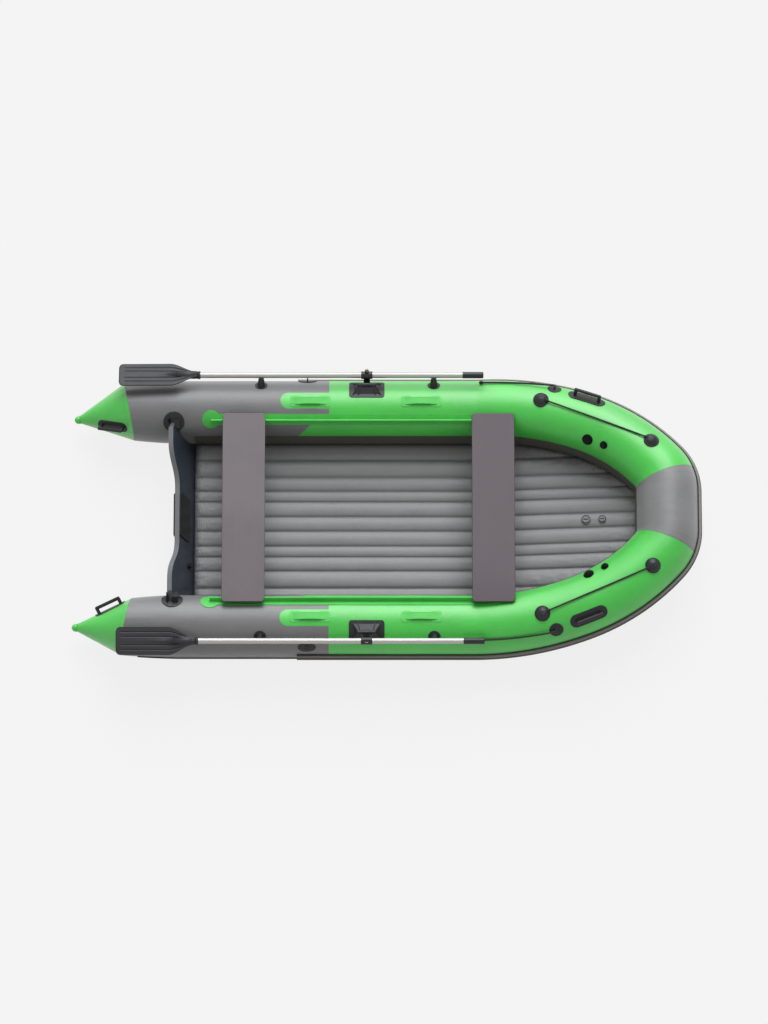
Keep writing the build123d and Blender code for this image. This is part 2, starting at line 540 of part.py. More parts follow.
# Rubber domes on the bow and the lifeline between them
def lifeline():
    ends = [on_tube(section(turn=t), a, EYE_RISE / 2).origin for t, a in EYE_STATIONS]
    (t0, _), (t1, _) = EYE_STATIONS
    middle = on_tube(section(turn=(t0 + t1) / 2), LIFELINE_ANGLE, ROPE_RADIUS + 3).origin
    path = ThreePointArc(ends[0], middle, ends[1])
    eyes, clear = [], []
    ball = (EYE_RADIUS ** 2 + EYE_RISE ** 2) / (2 * EYE_RISE)
    for k, (turn, angle) in enumerate(EYE_STATIONS):
        plane = on_tube(section(turn=turn), angle)
        centre = plane * Pos(0, 0, EYE_RISE - ball)
        dome = centre * Sphere(ball) & plane * Pos(0, 0, EYE_RISE) * Box(5 * EYE_RADIUS, 5 * EYE_RADIUS, 80)
        eyes.append(seated(dome))
        clear.append(rope_start(path, ROPE_RADIUS, Vector(*centre.position), ball, k == 1))
    return eyes, rope(path, *clear, ROPE_RADIUS)


def ring_patch(station, angle, outline):
    plane = on_tube(station, angle)
    ring = plane * Pos(0, 0, RING_RISE) * ALONG * Torus(RING_RADIUS, RING_WIRE)
    return tube_patch(plane, outline) + seated(ring)


# Lanyard from its ring along the tube to a toggle under the oar's grip
def tether():
    ring = on_tube(section(turn=TETHER_TURN), TETHER_ANGLE, RING_RISE + RING_RADIUS).origin
    between = (TETHER_ANGLE + TETHER_END_ANGLE) / 2
    middle = on_tube(section(turn=TETHER_TURN * 0.4), between, TETHER_RADIUS + 2).origin
    end = on_tube(section(turn=0), TETHER_END_ANGLE, TOGGLE_RADIUS + FIT).origin
    path = ThreePointArc(ring, middle, end)
    start = rope_start(path, TETHER_RADIUS, ring, RING_WIRE)
    return rope(path, start, 1, TETHER_RADIUS) + Pos(end) * Sphere(TOGGLE_RADIUS)


def tube_valve(turn, angle, radius):
    plane = on_tube(section(turn=turn), angle)
    body = plane * Pos(0, 0, 2) * Cylinder(radius * 0.8, 16)
    body += plane * Pos(0, 0, 10) * Cylinder(radius * 0.55, 10)
    return tube_patch(plane, Circle(radius)) + seated(body)


def floor_valve(x, radius, floor):
    crest = BOW.from_local_coords(((x - BOW.origin.X) / cos(SHEER), 0, FLOOR_TOP - AXIS_Z + FLOOR_SWELL))
    plane = Plane(crest, x_dir=BOW.x_dir, z_dir=BOW.z_dir)
    valve = plane * Cylinder(radius, 10) + plane * Pos(0, 0, 6) * Cylinder(radius * 0.7, 6)
    return valve - floor.moved(Pos(0, 0, FIT))


# Towing ring on the front of the bow, under the fender
def tow_eye():
    station = Plane(Vector(bow_point(90).X, 0, bow_point(90).Z), x_dir=BOW.x_dir, z_dir=(0, -1, 0))
    a = radians(TOW_ANGLE)
    out = station.x_dir * cos(a) + station.y_dir * sin(a)
    plane = Plane(station.origin + out * TUBE_RADIUS, x_dir=station.z_dir, z_dir=out)
    skin, core = (across_bow(Circle(TUBE_RADIUS + g)) for g in (FIT + SKIN, FIT))
    patch = (extrude(plane.offset(-TUBE_RADIUS / 3) * Ellipse(*TOW_PATCH), TUBE_RADIUS / 2) & skin) - core
    return patch + (plane * Pos(0, 0, RING_RISE) * ALONG * Torus(RING_RADIUS, RING_WIRE) - core)


# Full length of a profile: port side, bow and starboard side in one piece
def all_round(profile, start_x):
    front = bow_point(90)
    side = side_route(start_x, 90)
    route = Wire(list(side.edges()) + [Line(front, (front.X, -front.Y, front.Z)).edge()]
                 + list(side.mirror(Plane.XZ).edges()))
    return sweep(section(start_x) * profile, path=route)


PIECES = {}


def keep(name, *pieces):
    PIECES[name] = solids(*pieces)


def main():
    sides = ("port", "starboard")
    base, yoke, oar_pieces = oarlock_base(), oarlock_yoke(), oar()
    strake = along_side(strake_profile(), STRAKE_X, BOW_SEAM_TURN)
    for k, side in enumerate(sides):
        keep(f"{side}_aft_tube", pair(AFT_TUBE)[k])
        keep(f"{side}_side_tube", pair(SIDE_TUBE)[k])
        keep(f"{side}_stern_cone", pair(CONE)[k])
        keep(f"{side}_strake", pair(strake)[k])
        keep(f"{side}_oarlock_base", pair(base)[k])
        keep(f"{side}_oarlock_yoke", pair(yoke)[k])
        for part, piece in zip(("clamp", "shaft", "blade", "grip"), oar_pieces):
            keep(f"{side}_oar_{part}", pair(piece)[k])
    keep("bow_tube", BOW_TUBE)
    keep("bow_strake", across_bow(strake_profile()))
    keep("strake_beads", all_round(bead_profile(1), STRAKE_X), all_round(bead_profile(-1), SEAM_X + 60))
    foot = 180 + degrees(asin((AXIS_Z - FLOOR_TOP - FLOOR_SWELL - SKIRT_GAP) / TUBE_RADIUS))
    keep("floor_skirt", all_round(band(SKIRT_TOP_ANGLE, foot, SKIRT_THICKNESS), TRANSOM_X + 16))
    guard = band(270 - GUARD_HALF_ANGLE, 270 + GUARD_HALF_ANGLE, GUARD_THICKNESS)
    keep("tube_guards", *pair(extrude(section(TAPER_X) * guard, SHEER_X - TAPER_X)))
    keep("cone_tips", *pair(tip_cap()))
    floor = air_floor()
    keep("air_floor", floor)
    keep("transom", transom())
    keep("motor_pads", *motor_pads())
    keep("transom_holders", *pair(transom_holder()))
    keep("drain_plug", drain_plug())
    keep("seat_rails", *pair(seat_rail()))
    for name, x in SEAT_STATIONS.items():
        board, foot = seat(x, x + FOOT_SHIFT[name])
        keep(f"{name}_seat_board", board)
        keep(f"{name}_seat_feet", *pair(foot))
    keep("oar_rests", *[p for x in OAR_REST_X for p in pair(oar_rest(x))])
    keep("carry_straps", *[p for x in STRAP_X for p in pair(carry_strap(x))])
    keep("bow_handles", *pair(bow_handle()))
    keep("stern_handles", *pair(stern_handle()))
    eyes, line = lifeline()
    keep("lifeline_eyes", *[p for eye in eyes for p in pair(eye)])
    keep("lifelines", *pair(line))
    keep("tether_rings", *pair(ring_patch(section(turn=TETHER_TURN), TETHER_ANGLE, Circle(TETHER_PATCH))))
    keep("oar_tethers", *pair(tether()))
    keep("tube_valves", *[p for v in VALVE_STATIONS for p in pair(tube_valve(*v))])
    keep("floor_valves", *[floor_valve(x, r, floor) for x, r in FLOOR_VALVES])
    keep("side_rings", *pair(ring_patch(section(D_RING_X), D_RING_ANGLE, Ellipse(*D_RING_PATCH))))
    keep("tow_eye", tow_eye())
    os.makedirs("parts", exist_ok=True)
    for name, shape in PIECES.items():
        export_step(shape, f"parts/{name}.step")
        print(name, len(shape.solids()), round(shape.volume / 1e6, 3))


main()
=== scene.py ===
import math
import bpy
import bmesh
from mathutils import Matrix, Vector, noise


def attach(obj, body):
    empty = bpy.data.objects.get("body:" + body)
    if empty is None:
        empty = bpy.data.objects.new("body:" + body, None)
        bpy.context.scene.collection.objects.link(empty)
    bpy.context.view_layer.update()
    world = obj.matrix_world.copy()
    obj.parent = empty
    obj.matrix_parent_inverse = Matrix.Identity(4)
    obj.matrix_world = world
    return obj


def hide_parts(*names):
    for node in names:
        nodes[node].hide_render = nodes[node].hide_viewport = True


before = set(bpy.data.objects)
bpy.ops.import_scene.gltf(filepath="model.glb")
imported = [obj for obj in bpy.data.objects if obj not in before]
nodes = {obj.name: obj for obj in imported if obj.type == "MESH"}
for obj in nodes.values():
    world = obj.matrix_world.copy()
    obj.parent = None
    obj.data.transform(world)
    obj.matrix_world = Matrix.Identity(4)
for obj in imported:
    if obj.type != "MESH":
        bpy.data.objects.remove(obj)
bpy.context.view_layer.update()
print("loaded", len(nodes), "nodes")

# Lines of the hull, in metres and degrees, the same as the solids
hull = {
    "tube": 0.165, "half": 0.6, "axisZ": 0.1677,
    "colourX": -0.303, "taperX": -1.09, "seamX": -1.363, "seamRadius": 0.152, "seamSkew": 11.0,
    "coneTip": (-1.632, 0.582, 0.098), "tipRadius": 0.015,
    "sheerX": 0.46, "sheerAngle": 6.0, "sheerRadius": 0.5,
    "shoulder": (1.5, 20.0), "flare": (1.0, 48.0), "corner": 0.195, "bowSeam": 69.0,
    "ringSides": 96, "step": 0.013,
}
sheer = math.radians(hull["sheerAngle"])
bowFore = Vector((math.cos(sheer), 0, math.sin(sheer)))
bowUp = Vector((-math.sin(sheer), 0, math.cos(sheer)))
bowOrigin = Vector((hull["sheerX"] + hull["sheerRadius"] * math.sin(sheer), 0,
                    hull["axisZ"] + hull["sheerRadius"] * (1 - math.cos(sheer))))


def smooth(value):
    value = max(0.0, min(1.0, value))
    return value * value * (3 - 2 * value)


# Port tube axis in the raised bow plane: forward and half breadth at a turning angle
def bowAxis(turn):
    (shoulderR, shoulderT), (flareR, flareT) = hull["shoulder"], hull["flare"]
    t, a, b = math.radians(turn), math.radians(shoulderT), math.radians(flareT)
    one, two, three = min(t, a), min(max(t, a), b), max(t, b)
    forward = (shoulderR * math.sin(one) + flareR * (math.sin(two) - math.sin(a))
               + hull["corner"] * (math.sin(three) - math.sin(b)))
    inward = (shoulderR * (1 - math.cos(one)) + flareR * (math.cos(a) - math.cos(two))
              + hull["corner"] * (math.cos(b) - math.cos(three)))
    return forward, hull["half"] - inward


def bowPoint(turn):
    forward, breadth = bowAxis(turn)
    return bowOrigin + bowFore * forward + Vector((0, breadth, 0))


def bowOut(turn):
    t = math.radians(turn)
    return bowFore * math.sin(t) + Vector((0, math.cos(t), 0))


# Point and outward direction on the port tube, at an angle up from outboard
def onTube(angle, x=0.0, turn=None, rise=0.0):
    a = math.radians(angle)
    if turn is None:
        centre, out, up = Vector((x, hull["half"], hull["axisZ"])), Vector((0, 1, 0)), Vector((0, 0, 1))
    else:
        centre, out, up = bowPoint(turn), bowOut(turn), bowUp
    normal = out * math.cos(a) + up * math.sin(a)
    return centre + normal * (hull["tube"] + rise), normal


# Shader nodes
def put(tree, kind, **values):
    node = tree.nodes.new(kind)
    for key, value in values.items():
        if hasattr(node, key):
            setattr(node, key, value)
    return node


def plug(tree, value, socket):
    if isinstance(value, bpy.types.NodeSocket):
        tree.links.new(value, socket)
    else:
        socket.default_value = value


# Inputs of a node by name, an underline for each space
def feed(tree, node, **values):
    for key, value in values.items():
        plug(tree, value, node.inputs[key.replace("_", " ")])


def newMaterial(name, roughness=0.5, coat=0.0, metallic=0.0, specular=0.5):
    material = bpy.data.materials.new(name)
    material.use_nodes = True
    tree = material.node_tree
    shader = tree.nodes["Principled BSDF"]
    feed(tree, shader, Roughness=roughness, Coat_Weight=coat, Metallic=metallic, Specular_IOR_Level=specular)
    return material, tree, shader


def calc(tree, operation, a, b=0.0, c=0.0):
    node = put(tree, "ShaderNodeMath", operation=operation)
    for socket, value in zip(node.inputs, (a, b, c)):
        plug(tree, value, socket)
    return node.outputs[0]


def times(tree, a, b):
    return calc(tree, "MULTIPLY", a, b)


def plus(tree, a, b):
    return calc(tree, "ADD", a, b)


def minus(tree, a, b):
    return calc(tree, "SUBTRACT", a, b)


def step(tree, value, low, high):
    node = put(tree, "ShaderNodeMapRange", interpolation_type="SMOOTHSTEP")
    feed(tree, node, Value=value, From_Min=low, From_Max=high)
    return node.outputs["Result"]


def tint(tree, share, a, b, blend="MIX"):
    node = put(tree, "ShaderNodeMix", data_type="RGBA", blend_type=blend)
    for key, value in (("Factor_Float", share), ("A_Color", a), ("B_Color", b)):
        socket = next(s for s in node.inputs if s.identifier == key)
        opaque = isinstance(value, tuple) and len(value) == 3
        plug(tree, (*value, 1) if opaque else value, socket)
    return next(s for s in node.outputs if s.identifier == "Result_Color")


def coordinates(tree):
    return put(tree, "ShaderNodeTexCoord").outputs["Object"]


def scaled(tree, vector, scale):
    node = put(tree, "ShaderNodeMapping")
    feed(tree, node, Vector=vector, Scale=scale)
    return node.outputs["Vector"]


def cloud(tree, vector, scale, detail=3.0, roughness=0.5):
    node = put(tree, "ShaderNodeTexNoise")
    feed(tree, node, Vector=vector, Scale=scale, Detail=detail, Roughness=roughness)
    return node.outputs["Fac"]


def axes(tree, vector):
    node = put(tree, "ShaderNodeSeparateXYZ")
    tree.links.new(vector, node.inputs[0])
    return node.outputs


def attribute(tree, name):
    return put(tree, "ShaderNodeAttribute", attribute_name=name).outputs["Fac"]


def bump(tree, shader, height, strength, distance, under=None):
    node = put(tree, "ShaderNodeBump")
    feed(tree, node, Height=height, Strength=strength, Distance=distance)
    if under is not None:
        feed(tree, node, Normal=under)
    feed(tree, shader, Normal=node.outputs["Normal"])
    return node.outputs["Normal"]


# Finish groups shared by the materials
def group(name, inputs, outputs):
    tree = bpy.data.node_groups.new(name, "ShaderNodeTree")
    for way, labels in (("INPUT", inputs), ("OUTPUT", outputs)):
        for label in labels:
            kind = label if label in ("Vector", "Color") else "Float"
            tree.interface.new_socket(label, in_out=way, socket_type="NodeSocket" + kind)
    return tree, put(tree, "NodeGroupInput").outputs, put(tree, "NodeGroupOutput").inputs


# Faded, dusty colour with broad patches and fine specks, and its changing gloss
def makePatina():
    tree, given, out = group("patina", ("Vector", "Color", "Fade", "Patch Scale", "Gloss"),
                             ("Color", "Roughness"))
    broad = cloud(tree, given["Vector"], given["Patch Scale"], 4.0, 0.55)
    fine = cloud(tree, given["Vector"], times(tree, given["Patch Scale"], 34.0), 2.0, 0.6)
    mottle = plus(tree, times(tree, broad, 0.7), times(tree, fine, 0.3))
    pale = tint(tree, 0.22, given["Color"], given["Color"], "ADD")
    pale = tint(tree, 1.0, pale, (0.004, 0.004, 0.004), "ADD")
    deep = tint(tree, 0.22, given["Color"], (0.0, 0.0, 0.0))
    share = times(tree, step(tree, mottle, 0.42, 0.72), given["Fade"])
    colour = tint(tree, share, given["Color"], pale)
    low = times(tree, minus(tree, 1.0, step(tree, mottle, 0.3, 0.5)), given["Fade"])
    tree.links.new(tint(tree, low, colour, deep), out["Color"])
    uneven = times(tree, minus(tree, mottle, 0.5), 0.35)
    tree.links.new(plus(tree, given["Gloss"], uneven), out["Roughness"])
    return tree


# Plain weave of coated cloth, over two running coordinates in metres
def makeWeave():
    tree, given, out = group("weave", ("Along", "Across", "Thread"), ("Height",))
    turns = calc(tree, "DIVIDE", 2 * math.pi, given["Thread"])
    warp = calc(tree, "SINE", times(tree, given["Along"], turns))
    weft = calc(tree, "SINE", times(tree, given["Across"], turns))
    tree.links.new(times(tree, warp, weft), out["Height"])
    return tree


# Rounded rectangle over two coordinates: 1 inside, 0 outside, and a line along its edge
def makeTab():
    tree, given, out = group("tab", (
        "Along", "Across", "Centre", "Middle", "Half Length", "Half Width", "Corner"), ("Inside", "Edge"))

    def reach(value, centre, half):
        off = calc(tree, "ABSOLUTE", minus(tree, value, centre))
        past = plus(tree, minus(tree, off, half), given["Corner"])
        return calc(tree, "MAXIMUM", past, 0.0)

    x = reach(given["Along"], given["Centre"], given["Half Length"])
    y = reach(given["Across"], given["Middle"], given["Half Width"])
    far = calc(tree, "SQRT", plus(tree, times(tree, x, x), times(tree, y, y)))
    far = minus(tree, far, given["Corner"])
    tree.links.new(minus(tree, 1.0, step(tree, far, -0.0008, 0.0008)), out["Inside"])
    line = step(tree, calc(tree, "ABSOLUTE", far), 0.0006, 0.003)
    tree.links.new(minus(tree, 1.0, line), out["Edge"])
    return tree


patinaGroup, weaveGroup, tabGroup = makePatina(), makeWeave(), makeTab()


def place(tree, tool, **values):
    node = put(tree, "ShaderNodeGroup", node_tree=tool)
    feed(tree, node, **values)
    return node.outputs


pvc = {
    "green": (0.013, 0.500, 0.019), "grey": (0.146, 0.146, 0.151), "bow": (0.178, 0.178, 0.183),
    "greenTape": (0.110, 0.640, 0.120), "skirt": (0.060, 0.055, 0.048), "seamLine": (0.05, 0.055, 0.055),
    "greenCoat": 1.0, "greyCoat": 0.4, "coatIor": 1.62, "sheen": 0.36, "soft": 0.45, "gloss": 0.48,
    "thread": 0.0017, "skirtRing": (0.697, 0.846), "skirtAft": -1.02, "skirtSeam": (157.5 + 90) / 360,
    "keelSeam": 0.06,
}


# Coated cloth of the tubes: base colour, seams as dark hairlines, weave and slow waves in the skin
def tubeMaterial(name, base, tabs=None, laps=()):
    lacquer = pvc["greenCoat"] if base == pvc["green"] else pvc["greyCoat"]
    material, tree, shader = newMaterial(name, pvc["gloss"], lacquer)
    feed(tree, shader, Coat_Roughness=pvc["soft"], Coat_IOR=pvc["coatIor"], Sheen_Weight=pvc["sheen"],
         Sheen_Roughness=pvc["soft"])
    here = coordinates(tree)
    x = axes(tree, here)[0]
    run, ring = attribute(tree, "run"), attribute(tree, "ring")
    around = times(tree, ring, 2 * math.pi * hull["tube"])

    def hairline(value, at, half):
        off = calc(tree, "ABSOLUTE", minus(tree, value, at))
        return minus(tree, 1.0, step(tree, off, half * 0.35, half))

    # glued edges: laps across the tube, the skirt's upper edge inside and one long seam underneath
    edge = times(tree, hairline(ring, pvc["skirtSeam"], 0.0022), 0.9)
    edge = calc(tree, "MAXIMUM", edge, times(tree, hairline(ring, pvc["keelSeam"], 0.0016), 0.5))
    for at, strength in laps:
        edge = calc(tree, "MAXIMUM", edge, times(tree, hairline(run, at, 0.0024), strength))
    colour = base
    if tabs:
        # the green panel reaches aft in a round-ended tab, and on the inner side along a slanting edge
        offX = minus(tree, x, tabs["tabX"])
        offA = times(tree, minus(tree, ring, tabs["ring"]), 2 * math.pi * hull["tube"])
        tab = place(tree, tabGroup, Along=offX, Across=offA, Centre=0.2, Middle=0.0, Half_Length=0.2,
                    Half_Width=tabs["half"], Corner=tabs["corner"])
        turned = minus(tree, ring, tabs["slantRing"])
        slant = plus(tree, x, times(tree, turned, tabs["slope"]))
        below = step(tree, ring, tabs["slantRing"] - 0.0008, tabs["slantRing"] + 0.0008)
        ahead = step(tree, slant, tabs["slantX"] - 0.001, tabs["slantX"] + 0.001)
        mask = calc(tree, "MAXIMUM", tab["Inside"], times(tree, ahead, below))
        colour = tint(tree, mask, base, pvc["green"])
        coat = calc(tree, "MULTIPLY_ADD", mask, pvc["greenCoat"] - pvc["greyCoat"], pvc["greyCoat"])
        feed(tree, shader, Coat_Weight=coat)
        rim = times(tree, hairline(slant, tabs["slantX"], 0.003), below)
        rim = times(tree, calc(tree, "MAXIMUM", tab["Edge"], rim), 0.35)
        edge = calc(tree, "MAXIMUM", edge, rim)
    aged = place(tree, patinaGroup, Vector=here, Color=colour if tabs else (*base, 1), Fade=0.6,
                 Patch_Scale=3.5, Gloss=pvc["gloss"])
    # ahead of the transom the cloth is grey between the skirt's edge and the floor
    (first, last), aft = pvc["skirtRing"], pvc["skirtAft"]
    inside = minus(tree, 1.0, step(tree, ring, last - 0.004, last))
    inside = times(tree, inside, step(tree, ring, first, first + 0.002))
    inside = times(tree, inside, step(tree, x, aft, aft + 0.004))
    tone = tint(tree, inside, aged["Color"], pvc["skirt"])
    tone = tint(tree, times(tree, edge, 0.6), tone, pvc["seamLine"])
    feed(tree, shader, Base_Color=tone, Roughness=aged["Roughness"])
    weave = place(tree, weaveGroup, Along=run, Across=around, Thread=pvc["thread"])["Height"]
    waves = cloud(tree, scaled(tree, here, (7, 16, 16)), 1.0, 2.0)
    waved = bump(tree, shader, waves, 0.20, 0.012)
    lapped = bump(tree, shader, minus(tree, 1.0, edge), 0.5, 0.0012, waved)
    bump(tree, shader, weave, 0.10, 0.0004, lapped)
    return material


# Skins are swept ring by ring; each point keeps its turn round the tube and its run along it
def startRing(bm, centre, out, up, radius):
    matrix = Matrix((-out, -up, out.cross(up))).transposed().to_4x4()
    matrix.translation = centre
    made = bmesh.ops.create_circle(bm, cap_ends=False, radius=radius, segments=hull["ringSides"],
                                   matrix=matrix)
    ring = bm.verts.layers.float["ring"]
    for vert in made["verts"]:
        off = vert.co - centre
        angle = math.degrees(math.atan2(off.dot(up), off.dot(out)))
        vert[ring] = ((angle + 90.0) % 360.0) / 360.0
    return list({e for v in made["verts"] for e in v.link_edges})


def extendRing(bm, edges, run):
    made = bmesh.ops.extrude_edge_only(bm, edges=edges)["geom"]
    verts = [g for g in made if isinstance(g, bmesh.types.BMVert)]
    rim = [g for g in made if isinstance(g, bmesh.types.BMEdge) and g.is_boundary]
    layer = bm.verts.layers.float["run"]
    for vert in verts:
        vert[layer] = run
    return verts, rim


def straightLeg(bm, edges, run, way):
    count = max(1, round(way.length / hull["step"]))
    for leg in range(count):
        run += way.length / count
        verts, edges = extendRing(bm, edges, run)
        bmesh.ops.translate(bm, verts=verts, vec=way / count)
    return edges, run


def turnLeg(bm, edges, run, centre, axis, angle, radius):
    count = max(2, round(abs(angle) * (radius + 0.5 * hull["tube"]) / hull["step"]))
    for leg in range(count):
        run += abs(angle) * radius / count
        verts, edges = extendRing(bm, edges, run)
        bmesh.ops.rotate(bm, cent=centre, matrix=Matrix.Rotation(angle / count, 3, axis), verts=verts)
    return edges, run


def newSkin():
    bm = bmesh.new()
    for name in ("ring", "run"):
        bm.verts.layers.float.new(name)
    return bm


def link(name, data):
    piece = bpy.data.objects.new(name, data)
    bpy.context.scene.collection.objects.link(piece)
    return piece


def finishMesh(bm, name, material, body, replaced=()):
    bmesh.ops.remove_doubles(bm, verts=bm.verts, dist=1e-5)
    bmesh.ops.recalc_face_normals(bm, faces=bm.faces)
    for face in bm.faces:
        face.smooth = True
    mesh = bpy.data.meshes.new(name)
    bm.to_mesh(mesh)
    bm.free()
    piece = link(name, mesh)
    mesh.materials.append(material)
    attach(piece, body)
    if replaced:
        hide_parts(*replaced)


# Port piece and its mirror image on the other side
def finishPair(bm, name, material, bodies, replaced=()):
    other = bm.copy()
    bmesh.ops.scale(other, vec=(1, -1, 1), verts=other.verts)
    bmesh.ops.reverse_faces(other, faces=other.faces)
    for mesh, side, body in ((bm, "port", bodies[0]), (other, "starboard", bodies[1])):
        finishMesh(mesh, side + name, material, body, [side + "_" + node for node in replaced])


skin = {"pucker": 0.0014, "puckerReach": 0.07, "wave": 0.0007}


# Loose skin: slow unevenness, and puckers that die away from a seam
def dressSkin(bm, seams, seed):
    bm.normal_update()
    ring, run = (bm.verts.layers.float[name] for name in ("ring", "run"))
    moves = []
    for vert in bm.verts:
        at, turn = vert[run], vert[ring] * 2 * math.pi
        rim = Vector((math.cos(turn) * 1.1, math.sin(turn) * 1.1, at * 4.0 + seed))
        off = noise.noise(rim * 1.4) * skin["wave"]
        for seam, side, strength in seams:
            far = (at - seam) * side
            if far < -0.002:
                continue
            tooth = noise.noise(Vector((math.cos(turn) * 7, math.sin(turn) * 7, seed + seam * 3)))
            off += strength * skin["pucker"] * tooth * math.exp(-(max(far, 0) / skin["puckerReach"]) ** 2)
        moves.append(vert.normal * off)
    for vert, move in zip(bm.verts, moves):
        vert.co += move


def closeEnds(bm):
    rims = [e for e in bm.edges if e.is_boundary]
    bmesh.ops.holes_fill(bm, edges=rims, sides=0)
    for edge in rims:
        edge.smooth = False


def seamAxes():
    skew = math.radians(hull["seamSkew"])
    return Vector((-math.sin(skew), math.cos(skew), 0)), Vector((0, 0, 1))


def buildAftTube():
    bm = newSkin()
    out, up = Vector((0, 1, 0)), Vector((0, 0, 1))
    edges = startRing(bm, Vector((hull["colourX"], hull["half"], hull["axisZ"])), out, up, hull["tube"])
    edges, run = straightLeg(bm, edges, 0.0, Vector((hull["taperX"] - hull["colourX"], 0, 0)))
    span = hull["taperX"] - hull["seamX"]
    count = round(span / hull["step"])
    layer = bm.verts.layers.float["ring"]
    for k in range(1, count + 1):
        s = k / count
        run += span / count
        verts, edges = extendRing(bm, edges, run)
        skew = math.radians(hull["seamSkew"]) * (s / 3 + s * s * 2 / 3)
        radius = hull["tube"] - (hull["tube"] - hull["seamRadius"]) * (0.4 * s + 0.6 * s * s)
        side = Vector((-math.sin(skew), math.cos(skew), 0))
        centre = Vector((hull["taperX"] - span * s, hull["half"], hull["axisZ"]))
        for vert in verts:
            a = vert[layer] * 2 * math.pi - math.pi / 2
            vert.co = centre + (side * math.cos(a) + up * math.sin(a)) * radius
    dressSkin(bm, [(run, -1, 1.0)], 3.0)
    closeEnds(bm)
    return bm


def buildCone():
    bm = newSkin()
    out, up = seamAxes()
    root, tip = Vector((hull["seamX"], hull["half"], hull["axisZ"])), Vector(hull["coneTip"])
    lean = (root - tip).normalized()
    tipOut = (out - lean * out.dot(lean)).normalized()
    tipUp = lean.cross(tipOut)
    edges = startRing(bm, root, out, up, hull["seamRadius"])
    layer = bm.verts.layers.float["ring"]
    count, length = 24, (root - tip).length
    for k in range(1, count + 1):
        s = k / count
        verts, edges = extendRing(bm, edges, s * length)
        for vert in verts:
            a = vert[layer] * 2 * math.pi - math.pi / 2
            start = root + (out * math.cos(a) + up * math.sin(a)) * hull["seamRadius"]
            end = tip + (tipOut * math.cos(a) + tipUp * math.sin(a)) * hull["tipRadius"]
            vert.co = start.lerp(end, s)
    dressSkin(bm, [(0.0, 1, 1.6)], 8.0)
    closeEnds(bm)
    return bm


def bowTurn(bm, edges, run, start, end, radius):
    forward, breadth = bowAxis(start)
    t = math.radians(start)
    flat = (forward - radius * math.sin(t), breadth - radius * math.cos(t))
    centre = bowOrigin + bowFore * flat[0] + Vector((0, flat[1], 0))
    return turnLeg(bm, edges, run, centre, bowUp, -math.radians(end - start), radius)


def buildSideTube():
    bm = newSkin()
    out, up = Vector((0, 1, 0)), Vector((0, 0, 1))
    edges = startRing(bm, Vector((hull["colourX"], hull["half"], hull["axisZ"])), out, up, hull["tube"])
    edges, run = straightLeg(bm, edges, 0.0, Vector((hull["sheerX"] - hull["colourX"], 0, 0)))
    pivot = Vector((hull["sheerX"], hull["half"], hull["axisZ"] + hull["sheerRadius"]))
    edges, run = turnLeg(bm, edges, run, pivot, Vector((0, -1, 0)), sheer, hull["sheerRadius"])
    (shoulderR, shoulderT), (flareR, flareT) = hull["shoulder"], hull["flare"]
    edges, run = bowTurn(bm, edges, run, 0, shoulderT, shoulderR)
    edges, run = bowTurn(bm, edges, run, shoulderT, flareT, flareR)
    edges, run = bowTurn(bm, edges, run, flareT, hull["bowSeam"], hull["corner"])
    dressSkin(bm, [(run, -1, 0.8)], 12.0)
    closeEnds(bm)
    return bm


def buildBowTube():
    bm = newSkin()
    edges = startRing(bm, bowPoint(hull["bowSeam"]), bowOut(hull["bowSeam"]), bowUp, hull["tube"])
    edges, run = bowTurn(bm, edges, 0.0, hull["bowSeam"], 90, hull["corner"])
    front = bowPoint(90)
    edges, run = straightLeg(bm, edges, run, Vector((0, -2 * front.y, 0)))
    centre = Vector((front.x, -front.y, front.z)) - bowFore * hull["corner"]
    edges, run = turnLeg(bm, edges, run, centre, bowUp, -math.radians(90 - hull["bowSeam"]), hull["corner"])
    dressSkin(bm, [(0.0, 1, 0.8), (run, -1, 0.8)], 20.0)
    closeEnds(bm)
    return bm


cornerRun = hull["corner"] * math.radians(90 - hull["bowSeam"])
bowRun = 2 * cornerRun + 2 * bowPoint(90).y
greenTube = tubeMaterial("greenCoatedCloth", pvc["green"])
coneTube = tubeMaterial("greenConeCloth", pvc["green"], laps=((0.001, 1.0), (0.024, 0.35)))
bowCloth = tubeMaterial("greyBowCloth", pvc["bow"], laps=(
    (0.001, 0.8), (bowRun - 0.001, 0.8), (0.026, 0.3), (bowRun - 0.026, 0.3), (bowRun * 0.42, 0.22)))
aftTabs = {"ring": (88 + 90) / 360, "tabX": -0.56, "half": 0.046, "corner": 0.044,
           "slantRing": (122 + 90) / 360, "slope": 0.9, "slantX": -0.372}
aftTube = tubeMaterial("greyClothGreenTab", pvc["grey"], aftTabs)

onHull = ("hull", "hull")
finishPair(buildAftTube(), "AftTube", aftTube, onHull, ["aft_tube"])
finishPair(buildSideTube(), "SideTube", greenTube, onHull, ["side_tube"])
finishPair(buildCone(), "SternCone", coneTube, onHull, ["stern_cone"])
finishMesh(buildBowTube(), "bowTube", bowCloth, "hull", ["bow_tube"])
print("tubes built")

floor = {
    "creases": (-0.54, -0.357, -0.263, -0.184, -0.124, -0.0405, 0.0405, 0.124, 0.184, 0.263, 0.357, 0.54),
    "across": 16, "along": 190, "top": 0.084, "bottom": 0.026, "swell": 0.013, "fullness": 0.58,
    "fullWidth": 0.08, "aftX": -1.019, "rake": 22.0, "clear": 0.0006, "endRound": 0.040, "aftRound": 0.05,
    "edgeDrop": 0.012, "wrinkle": 0.0045, "wrinkleReach": (0.09, 0.10), "wave": 0.0016, "pucker": 0.0011,
    "puckerReach": 0.012, "gatherReach": 0.07, "creaseReach": 0.0045,
    "cloth": (0.226, 0.229, 0.236, 1), "stain": (0.14, 0.138, 0.13), "creaseShade": (0.03, 0.029, 0.026),
}


